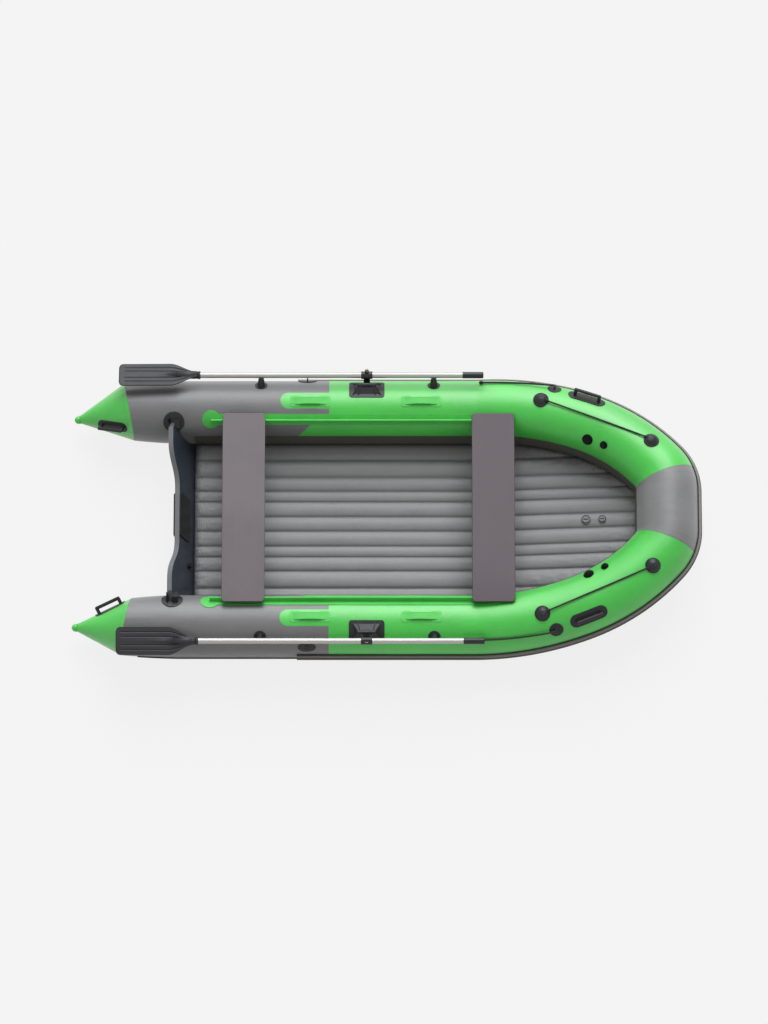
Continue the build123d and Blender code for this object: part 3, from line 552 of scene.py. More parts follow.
# Half breadth of the cockpit at floor height, at a distance forward in the bow plane
def floorReach(forward, depth):
    gap = math.sqrt(hull["tube"] ** 2 - depth ** 2) + floor["clear"]
    if forward <= 0:
        return hull["half"] - gap
    line = [bowAxis(t) for t in range(0, 91, 2)]
    frontF, frontB = line[-1]

    def clearance(breadth):
        best = min(math.hypot(f - forward, b - breadth) for f, b in line)
        if breadth < frontB:
            best = min(best, frontF - forward)
        return best

    low, high = 0.0, hull["half"]
    for halving in range(22):
        mid = (low + high) / 2
        low, high = (mid, high) if clearance(mid) >= gap else (low, mid)
    return low


def floorSheet(bm, top):
    creases, share = floor["creases"], floor["across"]
    channels = len(creases) - 1
    depth = hull["axisZ"] - floor["top"] + floor["edgeDrop"]
    gap = math.sqrt(hull["tube"] ** 2 - depth ** 2) + floor["clear"]
    foreEnd = bowAxis(90)[0] - gap
    arc = hull["sheerRadius"] * sheer
    length = hull["sheerX"] - floor["aftX"] + arc + foreEnd
    rows, columns = floor["along"], channels * share
    made = bmesh.ops.create_grid(bm, x_segments=rows, y_segments=columns, size=0.5)["verts"]
    reaches = {}
    crease, gather = (bm.verts.layers.float[name] for name in ("crease", "gather"))
    for vert in made:
        row, column = round((vert.co.x + 0.5) * rows), round((vert.co.y + 0.5) * columns)
        at = length * row / rows
        k = min(column // share, channels - 1)
        t = (column - k * share) / share
        y = creases[k] + (creases[k + 1] - creases[k]) * t
        forward = at - (length - foreEnd)
        if row not in reaches:
            reaches[row] = floorReach(forward, depth)
        edge = reaches[row]
        y = max(-edge, min(edge, y))
        width = creases[k + 1] - creases[k]
        t = (y - creases[k]) / width
        hill = max(0.0, 4 * t * (1 - t)) ** floor["fullness"] * floor["swell"]
        hill *= min(1.0, width / floor["fullWidth"])
        near = min(edge - abs(y), foreEnd - forward if forward > -0.4 else 1.0)
        fade = math.sqrt(smooth(near / floor["endRound"])) if near < floor["endRound"] else 1.0
        fade *= smooth(at / floor["aftRound"]) ** 0.5
        inward, seamward = max(near, 0), min(t, 1 - t) * width
        if top:
            aftReach, sideReach = floor["wrinkleReach"]
            wrinkle = math.exp(-at / aftReach) + math.exp(-inward / sideReach) * (forward > 0.05)
            ripple = noise.noise(Vector((at * 30, y * 60, 1.0)))
            ripple += 0.6 * noise.noise(Vector((at * 75, y * 22, 6.0)))
            ripple *= floor["wrinkle"] * wrinkle
            ripple += noise.noise(Vector((at * 5, k * 3.1, 4.0))) * floor["wave"]
            pucker = noise.noise(Vector((at * 70, k * 2.3, 9.0))) * floor["pucker"]
            pucker *= math.exp(-seamward / floor["puckerReach"])
            z = floor["top"] + (hill + ripple + pucker) * fade - floor["edgeDrop"] * (1 - fade)
        else:
            z = floor["bottom"] - hill * 0.8 * fade
        reach = floor["gatherReach"]
        vert[gather] = max(math.exp(-at / reach), math.exp(-inward / reach) * smooth((forward + 0.1) / 0.3))
        # painted shade mask: strong near each channel crease and where the floor's edge rounds down under the
        # tubes
        vert[crease] = max(math.exp(-seamward / floor["creaseReach"]), 1 - fade)
        drop = z - hull["axisZ"]
        straight = hull["sheerX"] - floor["aftX"]
        if at <= straight:
            slope = math.tan(math.radians(floor["rake"])) * (1 - smooth(at / 0.2))
            vert.co = Vector((floor["aftX"] + at - slope * (z - floor["top"]), y, z))
        elif at <= straight + arc:
            turn = (at - straight) / hull["sheerRadius"]
            radius = hull["sheerRadius"] - drop
            vert.co = Vector((hull["sheerX"] + radius * math.sin(turn), y,
                              hull["axisZ"] + hull["sheerRadius"] - radius * math.cos(turn)))
        else:
            vert.co = bowOrigin + bowFore * forward + bowUp * drop + Vector((0, y, 0))


def floorMaterial():
    material, tree, shader = newMaterial("greyFloorCloth", 0.5, 0.05)
    here = coordinates(tree)
    x, y = axes(tree, here)[:2]
    aged = place(tree, patinaGroup, Vector=here, Color=floor["cloth"], Fade=0.5, Patch_Scale=4.0,
                 Gloss=0.5)
    stain = step(tree, cloud(tree, scaled(tree, here, (3, 40, 3)), 1.0, 3.0), 0.5, 0.75)
    tone = tint(tree, times(tree, stain, 0.16), aged["Color"], floor["stain"])
    # painted shade: the cloth is darkened along the channel creases and at the floor's edges
    tone = tint(tree, times(tree, attribute(tree, "crease"), 0.75), tone, floor["creaseShade"])
    feed(tree, shader, Base_Color=tone, Roughness=aged["Roughness"])
    weave = place(tree, weaveGroup, Along=x, Across=y, Thread=0.0018)["Height"]
    folds = cloud(tree, scaled(tree, here, (26, 9, 9)), 1.0, 2.0)
    folded = bump(tree, shader, folds, 0.16, 0.008)
    puckers = cloud(tree, scaled(tree, here, (150, 34, 34)), 1.0, 2.0)
    gathered = times(tree, puckers, attribute(tree, "gather"))
    puckered = bump(tree, shader, gathered, 0.9, 0.010, folded)
    bump(tree, shader, weave, 0.12, 0.0004, puckered)
    return material


def buildFloor():
    bm = bmesh.new()
    for name in ("crease", "gather"):
        bm.verts.layers.float.new(name)
    floorSheet(bm, True)
    floorSheet(bm, False)
    bmesh.ops.remove_doubles(bm, verts=bm.verts, dist=2e-5)
    rims = [e for e in bm.edges if e.is_boundary]
    bmesh.ops.bridge_loops(bm, edges=rims)
    finishMesh(bm, "airFloor", floorMaterial(), "hull", ["air_floor"])


buildFloor()
print("floor built")

# Ropes: one smooth spline each, with a laid surface
ropes = {
    "radius": 0.0045, "eyes": ((12.0, 80.0), (43.0, 67.0)), "eyeRise": 0.013, "middle": 87.0, "clear": 0.003,
    "collars": ((0.030, 0.0065), (0.036, 0.0050), (0.042, 0.0038)), "collarWire": 0.0032,
    "foot": (0.0385, 0.0026),
}


def ropeMaterial():
    material, tree, shader = newMaterial("blackBraid", 0.75)
    here = coordinates(tree)
    x, y, z = axes(tree, here)
    strand = cloud(tree, here, 900.0, 1.0)
    twist = calc(tree, "SINE", times(tree, plus(tree, plus(tree, x, y), z), 900.0))
    tone = tint(tree, times(tree, strand, 0.5), (0.012, 0.012, 0.013), (0.05, 0.05, 0.055))
    feed(tree, shader, Base_Color=tone)
    bump(tree, shader, plus(tree, times(tree, twist, 0.7), strand), 0.7, 0.0016)
    return material


braid = ropeMaterial()


def ropePiece(name, points, radius, replaced):
    curve = bpy.data.curves.new(name, "CURVE")
    curve.dimensions = "3D"
    curve.bevel_depth = radius
    curve.bevel_resolution = 4
    curve.resolution_u = 32
    spline = curve.splines.new("NURBS")
    spline.points.add(len(points) - 1)
    for target, point in zip(spline.points, points):
        target.co = (*point, 1)
    spline.order_u = min(3, len(points))
    spline.use_endpoint_u = True
    curve.use_fill_caps = True
    holder = link(name + "Line", curve)
    bpy.context.view_layer.update()
    mesh = bpy.data.meshes.new_from_object(holder.evaluated_get(bpy.context.evaluated_depsgraph_get()))
    bpy.data.objects.remove(holder)
    mesh.name = name
    for face in mesh.polygons:
        face.use_smooth = True
    mesh.materials.clear()
    mesh.materials.append(braid)
    piece = link(name, mesh)
    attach(piece, "hull")
    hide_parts(replaced)


sides = (("port", Vector((1, 1, 1))), ("starboard", Vector((1, -1, 1))))


# Ends and control point of the port lifeline, drawn over the tube between its domes
def lifelineRoute():
    turns = [turn for turn, angle in ropes["eyes"]]
    first, last = (onTube(angle, turn=turn, rise=ropes["eyeRise"])[0] for turn, angle in ropes["eyes"])
    middle = onTube(ropes["middle"], turn=sum(turns) / 2, rise=ropes["radius"] + ropes["clear"])[0]
    return first, middle * 2 - (first + last) / 2, last


def buildLifelines():
    for side, flip in sides:
        points = [point * flip for point in lifelineRoute()]
        ropePiece(side + "Lifeline", points, ropes["radius"], "lifelines")


tether = {
    "turn": 13.8, "angle": 44.0, "radius": 0.005, "endAngle": 47.0, "ringRise": 0.020, "toggle": 0.009,
    "clear": 0.002, "middle": 0.4, "toggleShape": (1.5, 0.95, 0.95, 1),
}


# Lanyard laid along the tube from its ring to a bead
def buildTethers():
    between, share = (tether["angle"] + tether["endAngle"]) / 2, 1 - tether["middle"]
    first = onTube(tether["angle"], turn=tether["turn"], rise=tether["ringRise"])[0]
    middle = onTube(between, turn=tether["turn"] * tether["middle"], rise=tether["radius"] + tether["clear"])[0]
    last = onTube(tether["endAngle"], turn=0, rise=tether["toggle"])[0]
    control = (middle - first * (1 - share) ** 2 - last * share ** 2) / (2 * share * (1 - share))
    for side, flip in sides:
        points = [point * flip for point in (first, control, last)]
        ropePiece(side + "Tether", points, tether["radius"], "oar_tethers")
        bm = bmesh.new()
        matrix = Matrix.Translation(last * flip) @ Matrix.Diagonal(tether["toggleShape"])
        bmesh.ops.create_uvsphere(bm, u_segments=24, v_segments=14, radius=tether["toggle"], matrix=matrix)
        finishMesh(bm, side + "TetherBead", braid, "hull")


buildLifelines()
buildTethers()
print("ropes built")


# Moulded rubber and plastic
def rubberMaterial(name, colour, gloss, grain, depth=0.0006, shine=0.4):
    material, tree, shader = newMaterial(name, gloss, specular=shine)
    here = coordinates(tree)
    aged = place(tree, patinaGroup, Vector=here, Color=(*colour, 1), Fade=0.35, Patch_Scale=11.0, Gloss=gloss)
    feed(tree, shader, Base_Color=aged["Color"], Roughness=aged["Roughness"])
    bump(tree, shader, cloud(tree, here, grain, 2.0), 0.35, depth)
    return material


# Film-faced plywood: dim long grain under the film, plies on the sawn edges
def boardMaterial(name, colour, pale, along, gloss, edge):
    material, tree, shader = newMaterial(name, gloss, 0.1)
    here = coordinates(tree)
    shape = (60, 3.0, 60) if along == "y" else (60, 60, 3.0)
    streak = cloud(tree, scaled(tree, here, shape), 1.0, 5.0, 0.6)
    patch = cloud(tree, here, 5.0, 3.0)
    tone = tint(tree, step(tree, streak, 0.3, 0.75), colour, pale)
    dim = times(tree, step(tree, patch, 0.40, 0.70), 0.5)
    tone = tint(tree, dim, tone, tuple(c * 0.72 for c in colour))
    normal = axes(tree, put(tree, "ShaderNodeNewGeometry").outputs["Normal"])
    side = minus(tree, 1.0, step(tree, calc(tree, "ABSOLUTE", normal[2]), 0.25, 0.6))
    spot = axes(tree, here)
    plies = calc(tree, "SINE", times(tree, spot["Z"], 2 * math.pi / 0.0030))
    sawn = tint(tree, step(tree, plies, -0.3, 0.3), edge, tuple(c * 0.55 for c in edge))
    if along == "y":
        # painted shade: the fore seat's film is drawn darker than the aft seat's
        fore = times(tree, step(tree, spot["X"], 0.0, 0.1), 0.8)
        tone = tint(tree, fore, tone, tuple(c * k for c, k in zip(colour, (0.32, 0.18, 0.30))))
        tone = tint(tree, side, tone, sawn)
    else:
        # the upward-facing top edges are drawn in the paler edge colour: partly the sawn plywood's own lighter
        # edge, partly a painted highlight
        rake = math.radians(floor["rake"])
        rising = minus(tree, times(tree, normal[2], math.cos(rake)), times(tree, normal[0], math.sin(rake)))
        tone = tint(tree, step(tree, rising, 0.55, 0.8), tone, edge)
    rough = plus(tree, gloss, times(tree, minus(tree, streak, 0.5), 0.12))
    feed(tree, shader, Base_Color=tone, Roughness=rough)
    bump(tree, shader, streak, 0.05, 0.0006)
    return material


# Fender: pale along its upper shoulder, with painted shade darkening the outer face below it
def strakeMaterial():
    material, tree, shader = newMaterial("fenderRubber", 0.5)
    here = coordinates(tree)
    spot = axes(tree, here)
    ahead = calc(tree, "MAXIMUM", minus(tree, spot["X"], bowOrigin.x), 0.0)
    rise = times(tree, ahead, math.tan(sheer))
    height = minus(tree, minus(tree, spot["Z"], hull["axisZ"]), rise)
    # painted shade: below this height, under the shoulder, the fender is drawn near black
    paleShoulder = step(tree, height, 0.0150, 0.0180)
    colour = tint(tree, paleShoulder, (0.016, 0.015, 0.016), (0.215, 0.196, 0.184))
    aged = place(tree, patinaGroup, Vector=here, Color=colour, Fade=0.6, Patch_Scale=9.0, Gloss=0.5)
    feed(tree, shader, Base_Color=aged["Color"], Roughness=aged["Roughness"])
    bump(tree, shader, cloud(tree, here, 400.0, 2.0), 0.3, 0.0005)
    return material


def metalMaterial():
    material, tree, shader = newMaterial("drawnAluminium", 0.34, metallic=0.85)
    here = coordinates(tree)
    lines = cloud(tree, scaled(tree, here, (6, 900, 900)), 1.0, 3.0)
    tone = tint(tree, lines, (0.36, 0.35, 0.335), (0.47, 0.46, 0.445))
    feed(tree, shader, Base_Color=tone, Roughness=plus(tree, 0.26, times(tree, lines, 0.2)))
    bump(tree, shader, lines, 0.08, 0.0004)
    return material


# Webbing: ribs across the band and a row of stitches near each edge
def webbingMaterial():
    material, tree, shader = newMaterial("greenWebbing", 0.6)
    here = coordinates(tree)
    x, y = axes(tree, here)[:2]
    ribs = calc(tree, "SINE", times(tree, x, 2 * math.pi / 0.0035))
    threads = calc(tree, "SINE", times(tree, y, 2 * math.pi / 0.0025))
    aged = place(tree, patinaGroup, Vector=here, Color=(*pvc["greenTape"], 1), Fade=0.3, Patch_Scale=14.0,
                 Gloss=0.55)
    across = calc(tree, "ABSOLUTE", minus(tree, calc(tree, "ABSOLUTE", y), hull["half"]))
    row = calc(tree, "ABSOLUTE", minus(tree, across, 0.0148))
    dash = step(tree, calc(tree, "SINE", times(tree, x, 2 * math.pi / 0.0046)), -0.3, 0.0)
    stitch = times(tree, minus(tree, 1.0, step(tree, row, 0.0004, 0.0011)), dash)
    tone = tint(tree, times(tree, stitch, 0.7), aged["Color"], (0.03, 0.24, 0.035))
    feed(tree, shader, Base_Color=tone, Roughness=aged["Roughness"])
    woven = plus(tree, ribs, times(tree, threads, 0.5))
    bump(tree, shader, minus(tree, woven, times(tree, stitch, 2.0)), 0.3, 0.0007)
    return material


finishes = {
    "rubber": rubberMaterial("blackRubber", (0.009, 0.0095, 0.011), 0.42, 700.0),
    "plastic": rubberMaterial("blackPlastic", (0.008, 0.008, 0.0095), 0.36, 1100.0, 0.0003),
    "blade": rubberMaterial("bladePlastic", (0.026, 0.026, 0.031), 0.52, 800.0, 0.0004),
    "lock": rubberMaterial("oarlockRubber", (0.011, 0.011, 0.0135), 0.46, 600.0),
    "strake": strakeMaterial(),
    "bore": rubberMaterial("valveRubber", (0.004, 0.004, 0.005), 0.5, 900.0, 0.0003, 0.15),
    "bead": rubberMaterial("darkBead", (0.010, 0.0105, 0.012), 0.5, 500.0),
    "skirt": rubberMaterial("skirtCloth", (0.078, 0.072, 0.062), 0.6, 900.0),
    "guard": rubberMaterial("keelGuard", (0.12, 0.122, 0.125), 0.6, 500.0),
    "rail": rubberMaterial("greenRail", (0.075, 0.55, 0.085), 0.42, 900.0),
    "nose": tubeMaterial("noseCloth", pvc["green"]),
    "valve": rubberMaterial("greyValve", (0.20, 0.20, 0.20), 0.45, 900.0),
    "seat": boardMaterial("filmPlywood", (0.095, 0.074, 0.086), (0.101, 0.080, 0.092), "y", 0.42,
                          (0.16, 0.12, 0.10)),
    "transom": boardMaterial("slatePlywood", (0.024, 0.034, 0.051), (0.036, 0.048, 0.068), "z", 0.42,
                             (0.15, 0.155, 0.165)),
    "metal": metalMaterial(),
    "webbing": webbingMaterial(),
}
wear = {
    "rubber": ("cone_tips", "transom_holders", "oar_rests", "bow_handles", "stern_handles", "lifeline_eyes",
               "tether_rings", "side_rings", "tow_eye"),
    "plastic": ("motor_pads", "drain_plug", "aft_seat_feet", "front_seat_feet"), "bore": ("tube_valves",),
    "strake": ("bow_strake",), "skirt": ("floor_skirt",), "guard": ("tube_guards",), "rail": ("seat_rails",),
    "valve": ("floor_valves",), "seat": ("aft_seat_board", "front_seat_board"), "transom": ("transom",),
    "webbing": ("carry_straps",),
}
sideWear = {
    "strake": ("strake",), "lock": ("oarlock_base",), "plastic": ("oarlock_yoke", "oar_clamp", "oar_grip"),
    "metal": ("oar_shaft",),
}


def dressNode(name, finish):
    mesh = nodes[name].data
    mesh.materials.clear()
    mesh.materials.append(finishes[finish])


for finish, names in wear.items():
    for name in names:
        dressNode(name, finish)
for finish, names in sideWear.items():
    for name in names:
        for side in ("port_", "starboard_"):
            dressNode(side + name, finish)
print("solids dressed")

beads = {"cuts": 8, "past": 0.029, "draw": 0.0158}


# The fender's lower bead is drawn in where the tube narrows astern
def buildBeads():
    bm = bmesh.new()
    bm.from_mesh(nodes["strake_beads"].data)
    bmesh.ops.remove_doubles(bm, verts=bm.verts, dist=1e-5)
    span = hull["taperX"] - hull["seamX"]
    for k in range(beads["cuts"]):
        bmesh.ops.bisect_plane(bm, geom=bm.verts[:] + bm.edges[:] + bm.faces[:], dist=1e-6,
                               plane_co=(hull["taperX"] - span * k / beads["cuts"], 0, 0), plane_no=(1, 0, 0))
    for vert in bm.verts:
        s = (hull["taperX"] - vert.co.x) / (span + beads["past"])
        if s > 0:
            vert.co.y -= math.copysign(0.4 * s + 0.6 * s * s, vert.co.y) * beads["draw"]
    finishMesh(bm, "strakeBeads", finishes["bead"], "hull", ["strake_beads"])


buildBeads()

disc = {
    "angle": 129.0, "radius": 0.056, "inner": 0.1656, "skin": 0.0028, "faceX": -1.022, "width": 0.0312,
    "lap": 0.0011, "start": 127.2, "middle": -1.1214,
}


# Rubber of the holder's disc past the transom's end, where the jaw's slot is empty
def buildHolderFill():
    bm = bmesh.new()
    made = bmesh.ops.create_grid(bm, x_segments=8, y_segments=12, size=0.5)["verts"]
    slope = math.tan(math.radians(floor["rake"]))
    for vert in made:
        across, share = vert.co.x + 0.5, vert.co.y + 0.5
        x = disc["middle"]
        for settling in range(3):
            reach = math.sqrt(disc["radius"] ** 2 - (x - disc["middle"]) ** 2)
            end = disc["angle"] - math.degrees(math.asin(reach / hull["tube"]))
            angle = math.radians(disc["start"] + (end - disc["start"]) * share)
            z = hull["axisZ"] + disc["inner"] * math.sin(angle)
            x = (disc["faceX"] - slope * (z - floor["top"]) + disc["lap"]
                 - across * disc["width"])
        vert.co = (x, hull["half"] + disc["inner"] * math.cos(angle), z)
    bmesh.ops.recalc_face_normals(bm, faces=bm.faces)
    bmesh.ops.solidify(bm, geom=bm.faces[:], thickness=disc["skin"])
    finishPair(bm, "HolderFill", finishes["rubber"], onHull)


# Frame on the tube: x along it, z out of it
def tubeFrame(angle, x=0.0, turn=None, rise=0.0):
    point, normal = onTube(angle, x, turn, rise)
    t = math.radians(turn or 0)
    along = Vector((1, 0, 0)) if turn is None else bowFore * math.cos(t) + Vector((0, -math.sin(t), 0))
    matrix = Matrix((along, normal.cross(along), normal)).transposed().to_4x4()
    matrix.translation = point
    return matrix


# Bar with rounded edges between two points of a frame
def addBar(bm, matrix, start, end, width, height, rounding=0.3):
    start, end = Vector(start), Vector(end)
    x = (end - start).normalized()
    y = Vector((0, 0, 1)).cross(x).normalized()
    turn = Matrix((x, y, x.cross(y))).transposed().to_4x4()
    turn.translation = (start + end) / 2
    size = Matrix.Diagonal(((end - start).length, width, height, 1))
    made = bmesh.ops.create_cube(bm, size=1, matrix=matrix @ turn @ size)["verts"]
    edges = list({e for v in made for e in v.link_edges})
    bmesh.ops.bevel(bm, geom=edges, offset=min(width, height) * rounding, segments=2, profile=0.5,
                    affect="EDGES", material=-1)


hoop = {"sides": 10, "steps": 28}


def addHoop(bm, matrix, radius, wire):
    section = matrix @ Matrix.Translation((radius, 0, 0)) @ Matrix.Rotation(math.pi / 2, 4, "X")
    made = bmesh.ops.create_circle(bm, cap_ends=False, radius=wire, segments=hoop["sides"],
                                   matrix=section)["verts"]
    edges = list({e for v in made for e in v.link_edges})
    bmesh.ops.spin(bm, geom=made + edges, cent=matrix.translation, axis=matrix.col[2].xyz, angle=2 * math.pi,
                   steps=hoop["steps"], use_merge=True)


blade = {
    "pivot": (-0.105, 0.740949, 0.347584), "angle": 62.0, "roll": 8.0, "tip": -1.307, "length": 0.43,
    "half": 0.0735, "full": 0.275, "neck": 0.0185, "corner": 0.024, "socket": 0.13, "socketRadius": 0.019,
    "thick": 0.006, "along": 72, "across": 60, "stub": 0.018, "point": (0.15, 0.003),
    "rings": ((0.012, 0.0208, 0.058), (0.006, 0.0202, 0.03)), "grooves": (0.30, 0.64), "grooveWidth": 0.0023,
    "grooveDepth": 0.0050, "rim": 0.0018, "curl": 0.005,
}


def oarFrame(roll):
    a, r = math.radians(blade["angle"]), math.radians(roll)
    up, out = Vector((0, math.cos(a), math.sin(a))), Vector((0, math.sin(a), -math.cos(a)))
    y, z = out * math.cos(r) + up * math.sin(r), up * math.cos(r) - out * math.sin(r)
    matrix = Matrix((Vector((1, 0, 0)), y, z)).transposed().to_4x4()
    matrix.translation = Vector(blade["pivot"])
    return matrix


def bladeHalf(s, stem):
    if s < blade["corner"]:
        return blade["half"] - blade["corner"] + math.sqrt(blade["corner"] ** 2 - (blade["corner"] - s) ** 2)
    if s <= blade["full"]:
        return blade["half"]
    taper = smooth((s - blade["full"]) / (stem - blade["full"])) ** 0.9
    return blade["half"] + (blade["neck"] - blade["half"]) * taper


# Moulded leaf: a ridge that grows towards the neck, two grooves a side and a raised rim
def buildBlade():
    bm = bmesh.new()
    stem = blade["length"] - blade["stub"]
    made = bmesh.ops.create_grid(bm, x_segments=blade["along"], y_segments=blade["across"], size=0.5)["verts"]
    for vert in made:
        s, share = (vert.co.x + 0.5) * stem, vert.co.y * 2
        half = bladeHalf(s, stem)
        y, t = share * half, s / stem
        ridge = 0.002 + 0.013 * t * t * max(0.0, 1 - abs(y) / (0.008 + 0.016 * t)) ** 0.8
        hold = smooth((s - 0.018) / 0.02) * (1 - smooth((s - 0.33) / 0.05))
        off = [(abs(y) - g * half) / blade["grooveWidth"] for g in blade["grooves"]]
        groove = sum(math.exp(-o ** 2) for o in off) * hold
        rim = smooth((abs(share) - 0.93) / 0.05) * (1 - t)
        height = ridge - blade["grooveDepth"] * groove + blade["rim"] * rim
        height -= blade["curl"] * share * share * (1 - t)
        vert.co = Vector((blade["tip"] + s, y, height))
    bmesh.ops.solidify(bm, geom=bm.faces[:], thickness=-blade["thick"])
    bmesh.ops.transform(bm, matrix=oarFrame(blade["roll"]), verts=bm.verts)
    neck = blade["tip"] + blade["length"]
    along = Matrix.Rotation(math.pi / 2, 4, "Y")
    lie = oarFrame(0) @ Matrix.Translation((neck - blade["socket"] / 2, 0, 0)) @ along
    for length, radius, off in ((blade["socket"], blade["socketRadius"], 0.0), *blade["rings"]):
        bmesh.ops.create_cone(bm, cap_ends=True, segments=32, radius1=radius, radius2=radius, depth=length,
                              matrix=lie @ Matrix.Translation((0, 0, off)))
    length, radius = blade["point"]
    point = oarFrame(blade["roll"]) @ Matrix.Translation((neck - blade["socket"] - length / 2, 0, 0))
    bmesh.ops.create_cone(bm, cap_ends=True, segments=24, radius1=radius, radius2=blade["socketRadius"],
                          depth=length, matrix=point @ along)
    return bm


finishPair(buildBlade(), "OarBlade", finishes["blade"], ("port_oar", "starboard_oar"),
           ["oar_blade"])
print("blades built")

lock = {
    "x": -0.105, "angle": 62.0, "foot": (0.075, 0.047, -0.006), "ridge": (0.047, 0.008, 0.0265),
    "rib": (0.006, 0.007), "boss": (0.0475, 0.027), "bossHoop": (0.0112, 0.0016), "pin": (0, 0.04, 0.094),
    "ringTilt": 75.0, "ring": (0.0085, 0.0012),
}


# Oarlock: ribs up the rubber foot, and a split ring on the pin
def buildLockRibs():
    bm = bmesh.new()
    at = tubeFrame(lock["angle"], lock["x"])
    (fx, fy, fz), (rx, ry, rz) = lock["foot"], lock["ridge"]
    for sx in (1, -1):
        for sy in (1, -1):
            addBar(bm, at, (sx * fx, sy * fy, fz), (sx * rx, sy * ry, rz), *lock["rib"])
            addBar(bm, at, (sx * fx * 0.6, sy * fy, fz + 0.001), (sx * rx * 0.72, sy * ry, rz), *lock["rib"])
        boss = at @ Matrix.Translation((sx * lock["boss"][0], 0, lock["boss"][1]))
        addHoop(bm, boss @ Matrix.Rotation(math.pi / 2, 4, "Y"), *lock["bossHoop"])
    finishPair(bm, "OarlockRibs", finishes["lock"], onHull)
    bm = bmesh.new()
    pin = at @ Matrix.Translation(lock["pin"])
    addHoop(bm, pin @ Matrix.Rotation(math.radians(lock["ringTilt"]), 4, "X"), *lock["ring"])
    finishPair(bm, "OarlockRing", finishes["metal"], ("port_oarlock", "starboard_oarlock"))


buildLockRibs()

valves = {
    "tube": ((25.7, 130.0, 0.029), (31.6, 126.0, 0.021)), "grips": 12,
    "floor": ((1.041, 0.025), (1.127, 0.021)),
}


# Valve caps: a ring of finger grips, a turning bar and a hoop under the cap
def buildValveCaps():
    bm = bmesh.new()
    for turn, angle, radius in valves["tube"]:
        at = tubeFrame(angle, turn=turn)
        for k in range(valves["grips"]):
            spun = at @ Matrix.Rotation(2 * math.pi * k / valves["grips"], 4, "Z")
            addBar(bm, spun, (radius * 0.76, 0, 0.0085), (radius * 0.86, 0, 0.0085), 0.0035, 0.006)
        addHoop(bm, at @ Matrix.Translation((0, 0, 0.004)), radius * 0.9, 0.0014)
        addBar(bm, at, (-radius * 0.42, 0, 0.0155), (radius * 0.42, 0, 0.0155), 0.004, 0.003)
    finishPair(bm, "ValveCaps", finishes["bore"], onHull)
    bm = bmesh.new()
    for x, radius in valves["floor"]:
        rise = floor["top"] - hull["axisZ"] + floor["swell"]
        at = Matrix((bowFore, Vector((0, 1, 0)), bowUp)).transposed().to_4x4()
        at.translation = bowOrigin + bowFore * ((x - bowOrigin.x) / math.cos(sheer)) + bowUp * rise
        addHoop(bm, at @ Matrix.Translation((0, 0, 0.0055)), radius * 0.86, 0.0016)
        addBar(bm, at, (-radius * 0.5, 0, 0.0095), (radius * 0.5, 0, 0.0095), 0.005, 0.003)
    finishMesh(bm, "floorValveRings", finishes["plastic"], "hull")


buildValveCaps()


# Collars where the lifeline enters its domes
def buildCollars():
    bm = bmesh.new()
    first, control, last = lifelineRoute()
    for end in (first, last):
        way = (control - end).normalized()
        turn = way.to_track_quat("Z", "Y").to_matrix().to_4x4()
        for reach, radius in ropes["collars"]:
            addHoop(bm, Matrix.Translation(end + way * reach) @ turn, radius, ropes["collarWire"])
    for turn, angle in ropes["eyes"]:
        at = tubeFrame(angle, turn=turn)
        addHoop(bm, at @ Matrix.Translation((0, 0, 0.003)), *ropes["foot"])
        for across in (-0.008, 0.008):
            addBar(bm, at, (-0.009, across, 0.0250), (0.009, across, 0.0250), 0.0045, 0.004)
    finishPair(bm, "LifelineCollars", finishes["rubber"], onHull)


buildCollars()

nose = {"radius": 0.0206, "wall": 0.0004, "reach": 44.0, "back": 0.0125, "flare": 0.0011, "steps": 36}


# Cloth drawn over the rubber cap at the point of each cone
def buildNoses():
    bm = newSkin()
    root, tip = Vector((hull["seamX"], hull["half"], hull["axisZ"])), Vector(hull["coneTip"])
    turn = (tip - root).to_track_quat("Z", "Y").to_matrix().to_4x4()
    turn.translation = tip
    angles = [math.radians(nose["reach"]) * k / 8 for k in range(9)]
    outer = [(nose["radius"] + nose["flare"], -nose["back"])] + [
        (nose["radius"] * math.cos(a), nose["radius"] * math.sin(a)) for a in angles]
    inner = [(r - nose["wall"], z) for r, z in outer]
    line = [bm.verts.new(turn @ Vector((r, 0, z))) for r, z in outer + inner[::-1]]
    edges = [bm.edges.new((line[k], line[(k + 1) % len(line)])) for k in range(len(line))]
    bmesh.ops.spin(bm, geom=line + edges, cent=tip, axis=turn.col[2].xyz, angle=2 * math.pi,
                   steps=nose["steps"], use_merge=True)
    finishPair(bm, "ConeNose", finishes["nose"], onHull)


buildNoses()
buildHolderFill()
print("fittings built")

studio = {
    "ambient": (0.40, 0.392, 0.380), "backdrop": 0.905, "floorSize": 30.0, "lampColour": (0.965, 0.985, 1.0),
    "lamps": (("window", 2.15, 42.0, 40.0), ("lowWindow", 1.15, 52.0, 73.0)),
    "camera": (-0.0144, -13.643, 37.758), "tilt": 20.0, "lens": 267.2,
}


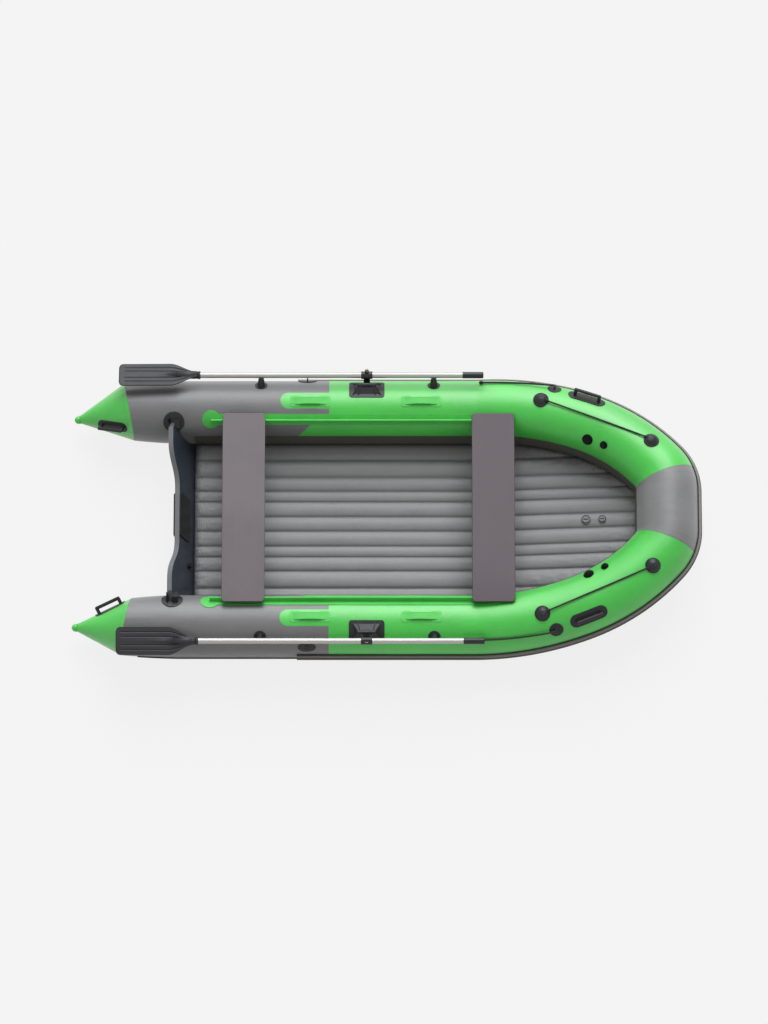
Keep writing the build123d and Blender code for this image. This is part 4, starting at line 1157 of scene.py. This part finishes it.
def buildStudio():
    scene = bpy.context.scene
    world = bpy.data.worlds.new("softStudio")
    world.use_nodes = True
    scene.world = world
    tree = world.node_tree
    back = tree.nodes["Background"]
    path = put(tree, "ShaderNodeLightPath").outputs
    mirrored = calc(tree, "MAXIMUM", path["Is Glossy Ray"], path["Is Transmission Ray"])
    seen = calc(tree, "MAXIMUM", path["Is Camera Ray"], mirrored)
    pale = (studio["backdrop"],) * 3
    feed(tree, back, Color=tint(tree, seen, studio["ambient"], pale))
    for name, energy, angle, lean in studio["lamps"]:
        lamp = bpy.data.lights.new(name, "SUN")
        lamp.energy = energy
        lamp.color = studio["lampColour"]
        lamp.angle = math.radians(angle)
        link(name, lamp).rotation_euler = (math.radians(-lean), math.radians(6), 0)
    bm = bmesh.new()
    bmesh.ops.create_grid(bm, x_segments=1, y_segments=1, size=studio["floorSize"])
    mesh = bpy.data.meshes.new("studioFloor")
    bm.to_mesh(mesh)
    bm.free()
    ground = link("studioFloor", mesh)
    material, tree, shader = newMaterial("paleFloor", 0.9, specular=0.0)
    feed(tree, shader, Base_Color=(0.86, 0.86, 0.86, 1))
    path = put(tree, "ShaderNodeLightPath").outputs
    glow = put(tree, "ShaderNodeEmission")
    feed(tree, glow, Color=(*pale, 1))
    mix = put(tree, "ShaderNodeMixShader")
    seen = calc(tree, "MAXIMUM", path["Is Camera Ray"], path["Is Glossy Ray"])
    plug(tree, times(tree, seen, 0.92), mix.inputs[0])
    tree.links.new(shader.outputs[0], mix.inputs[1])
    tree.links.new(glow.outputs[0], mix.inputs[2])
    tree.links.new(mix.outputs[0], tree.nodes["Material Output"].inputs["Surface"])
    mesh.materials.append(material)
    view = bpy.data.cameras.new("camera")
    view.lens = studio["lens"]
    view.sensor_width = 36
    view.sensor_fit = "AUTO"
    view.clip_end = 100
    camera = link("camera", view)
    camera.location = studio["camera"]
    camera.rotation_euler = (math.radians(studio["tilt"]), 0, 0)
    scene.camera = camera
    scene.view_settings.view_transform = "Standard"


buildStudio()
print("studio set")
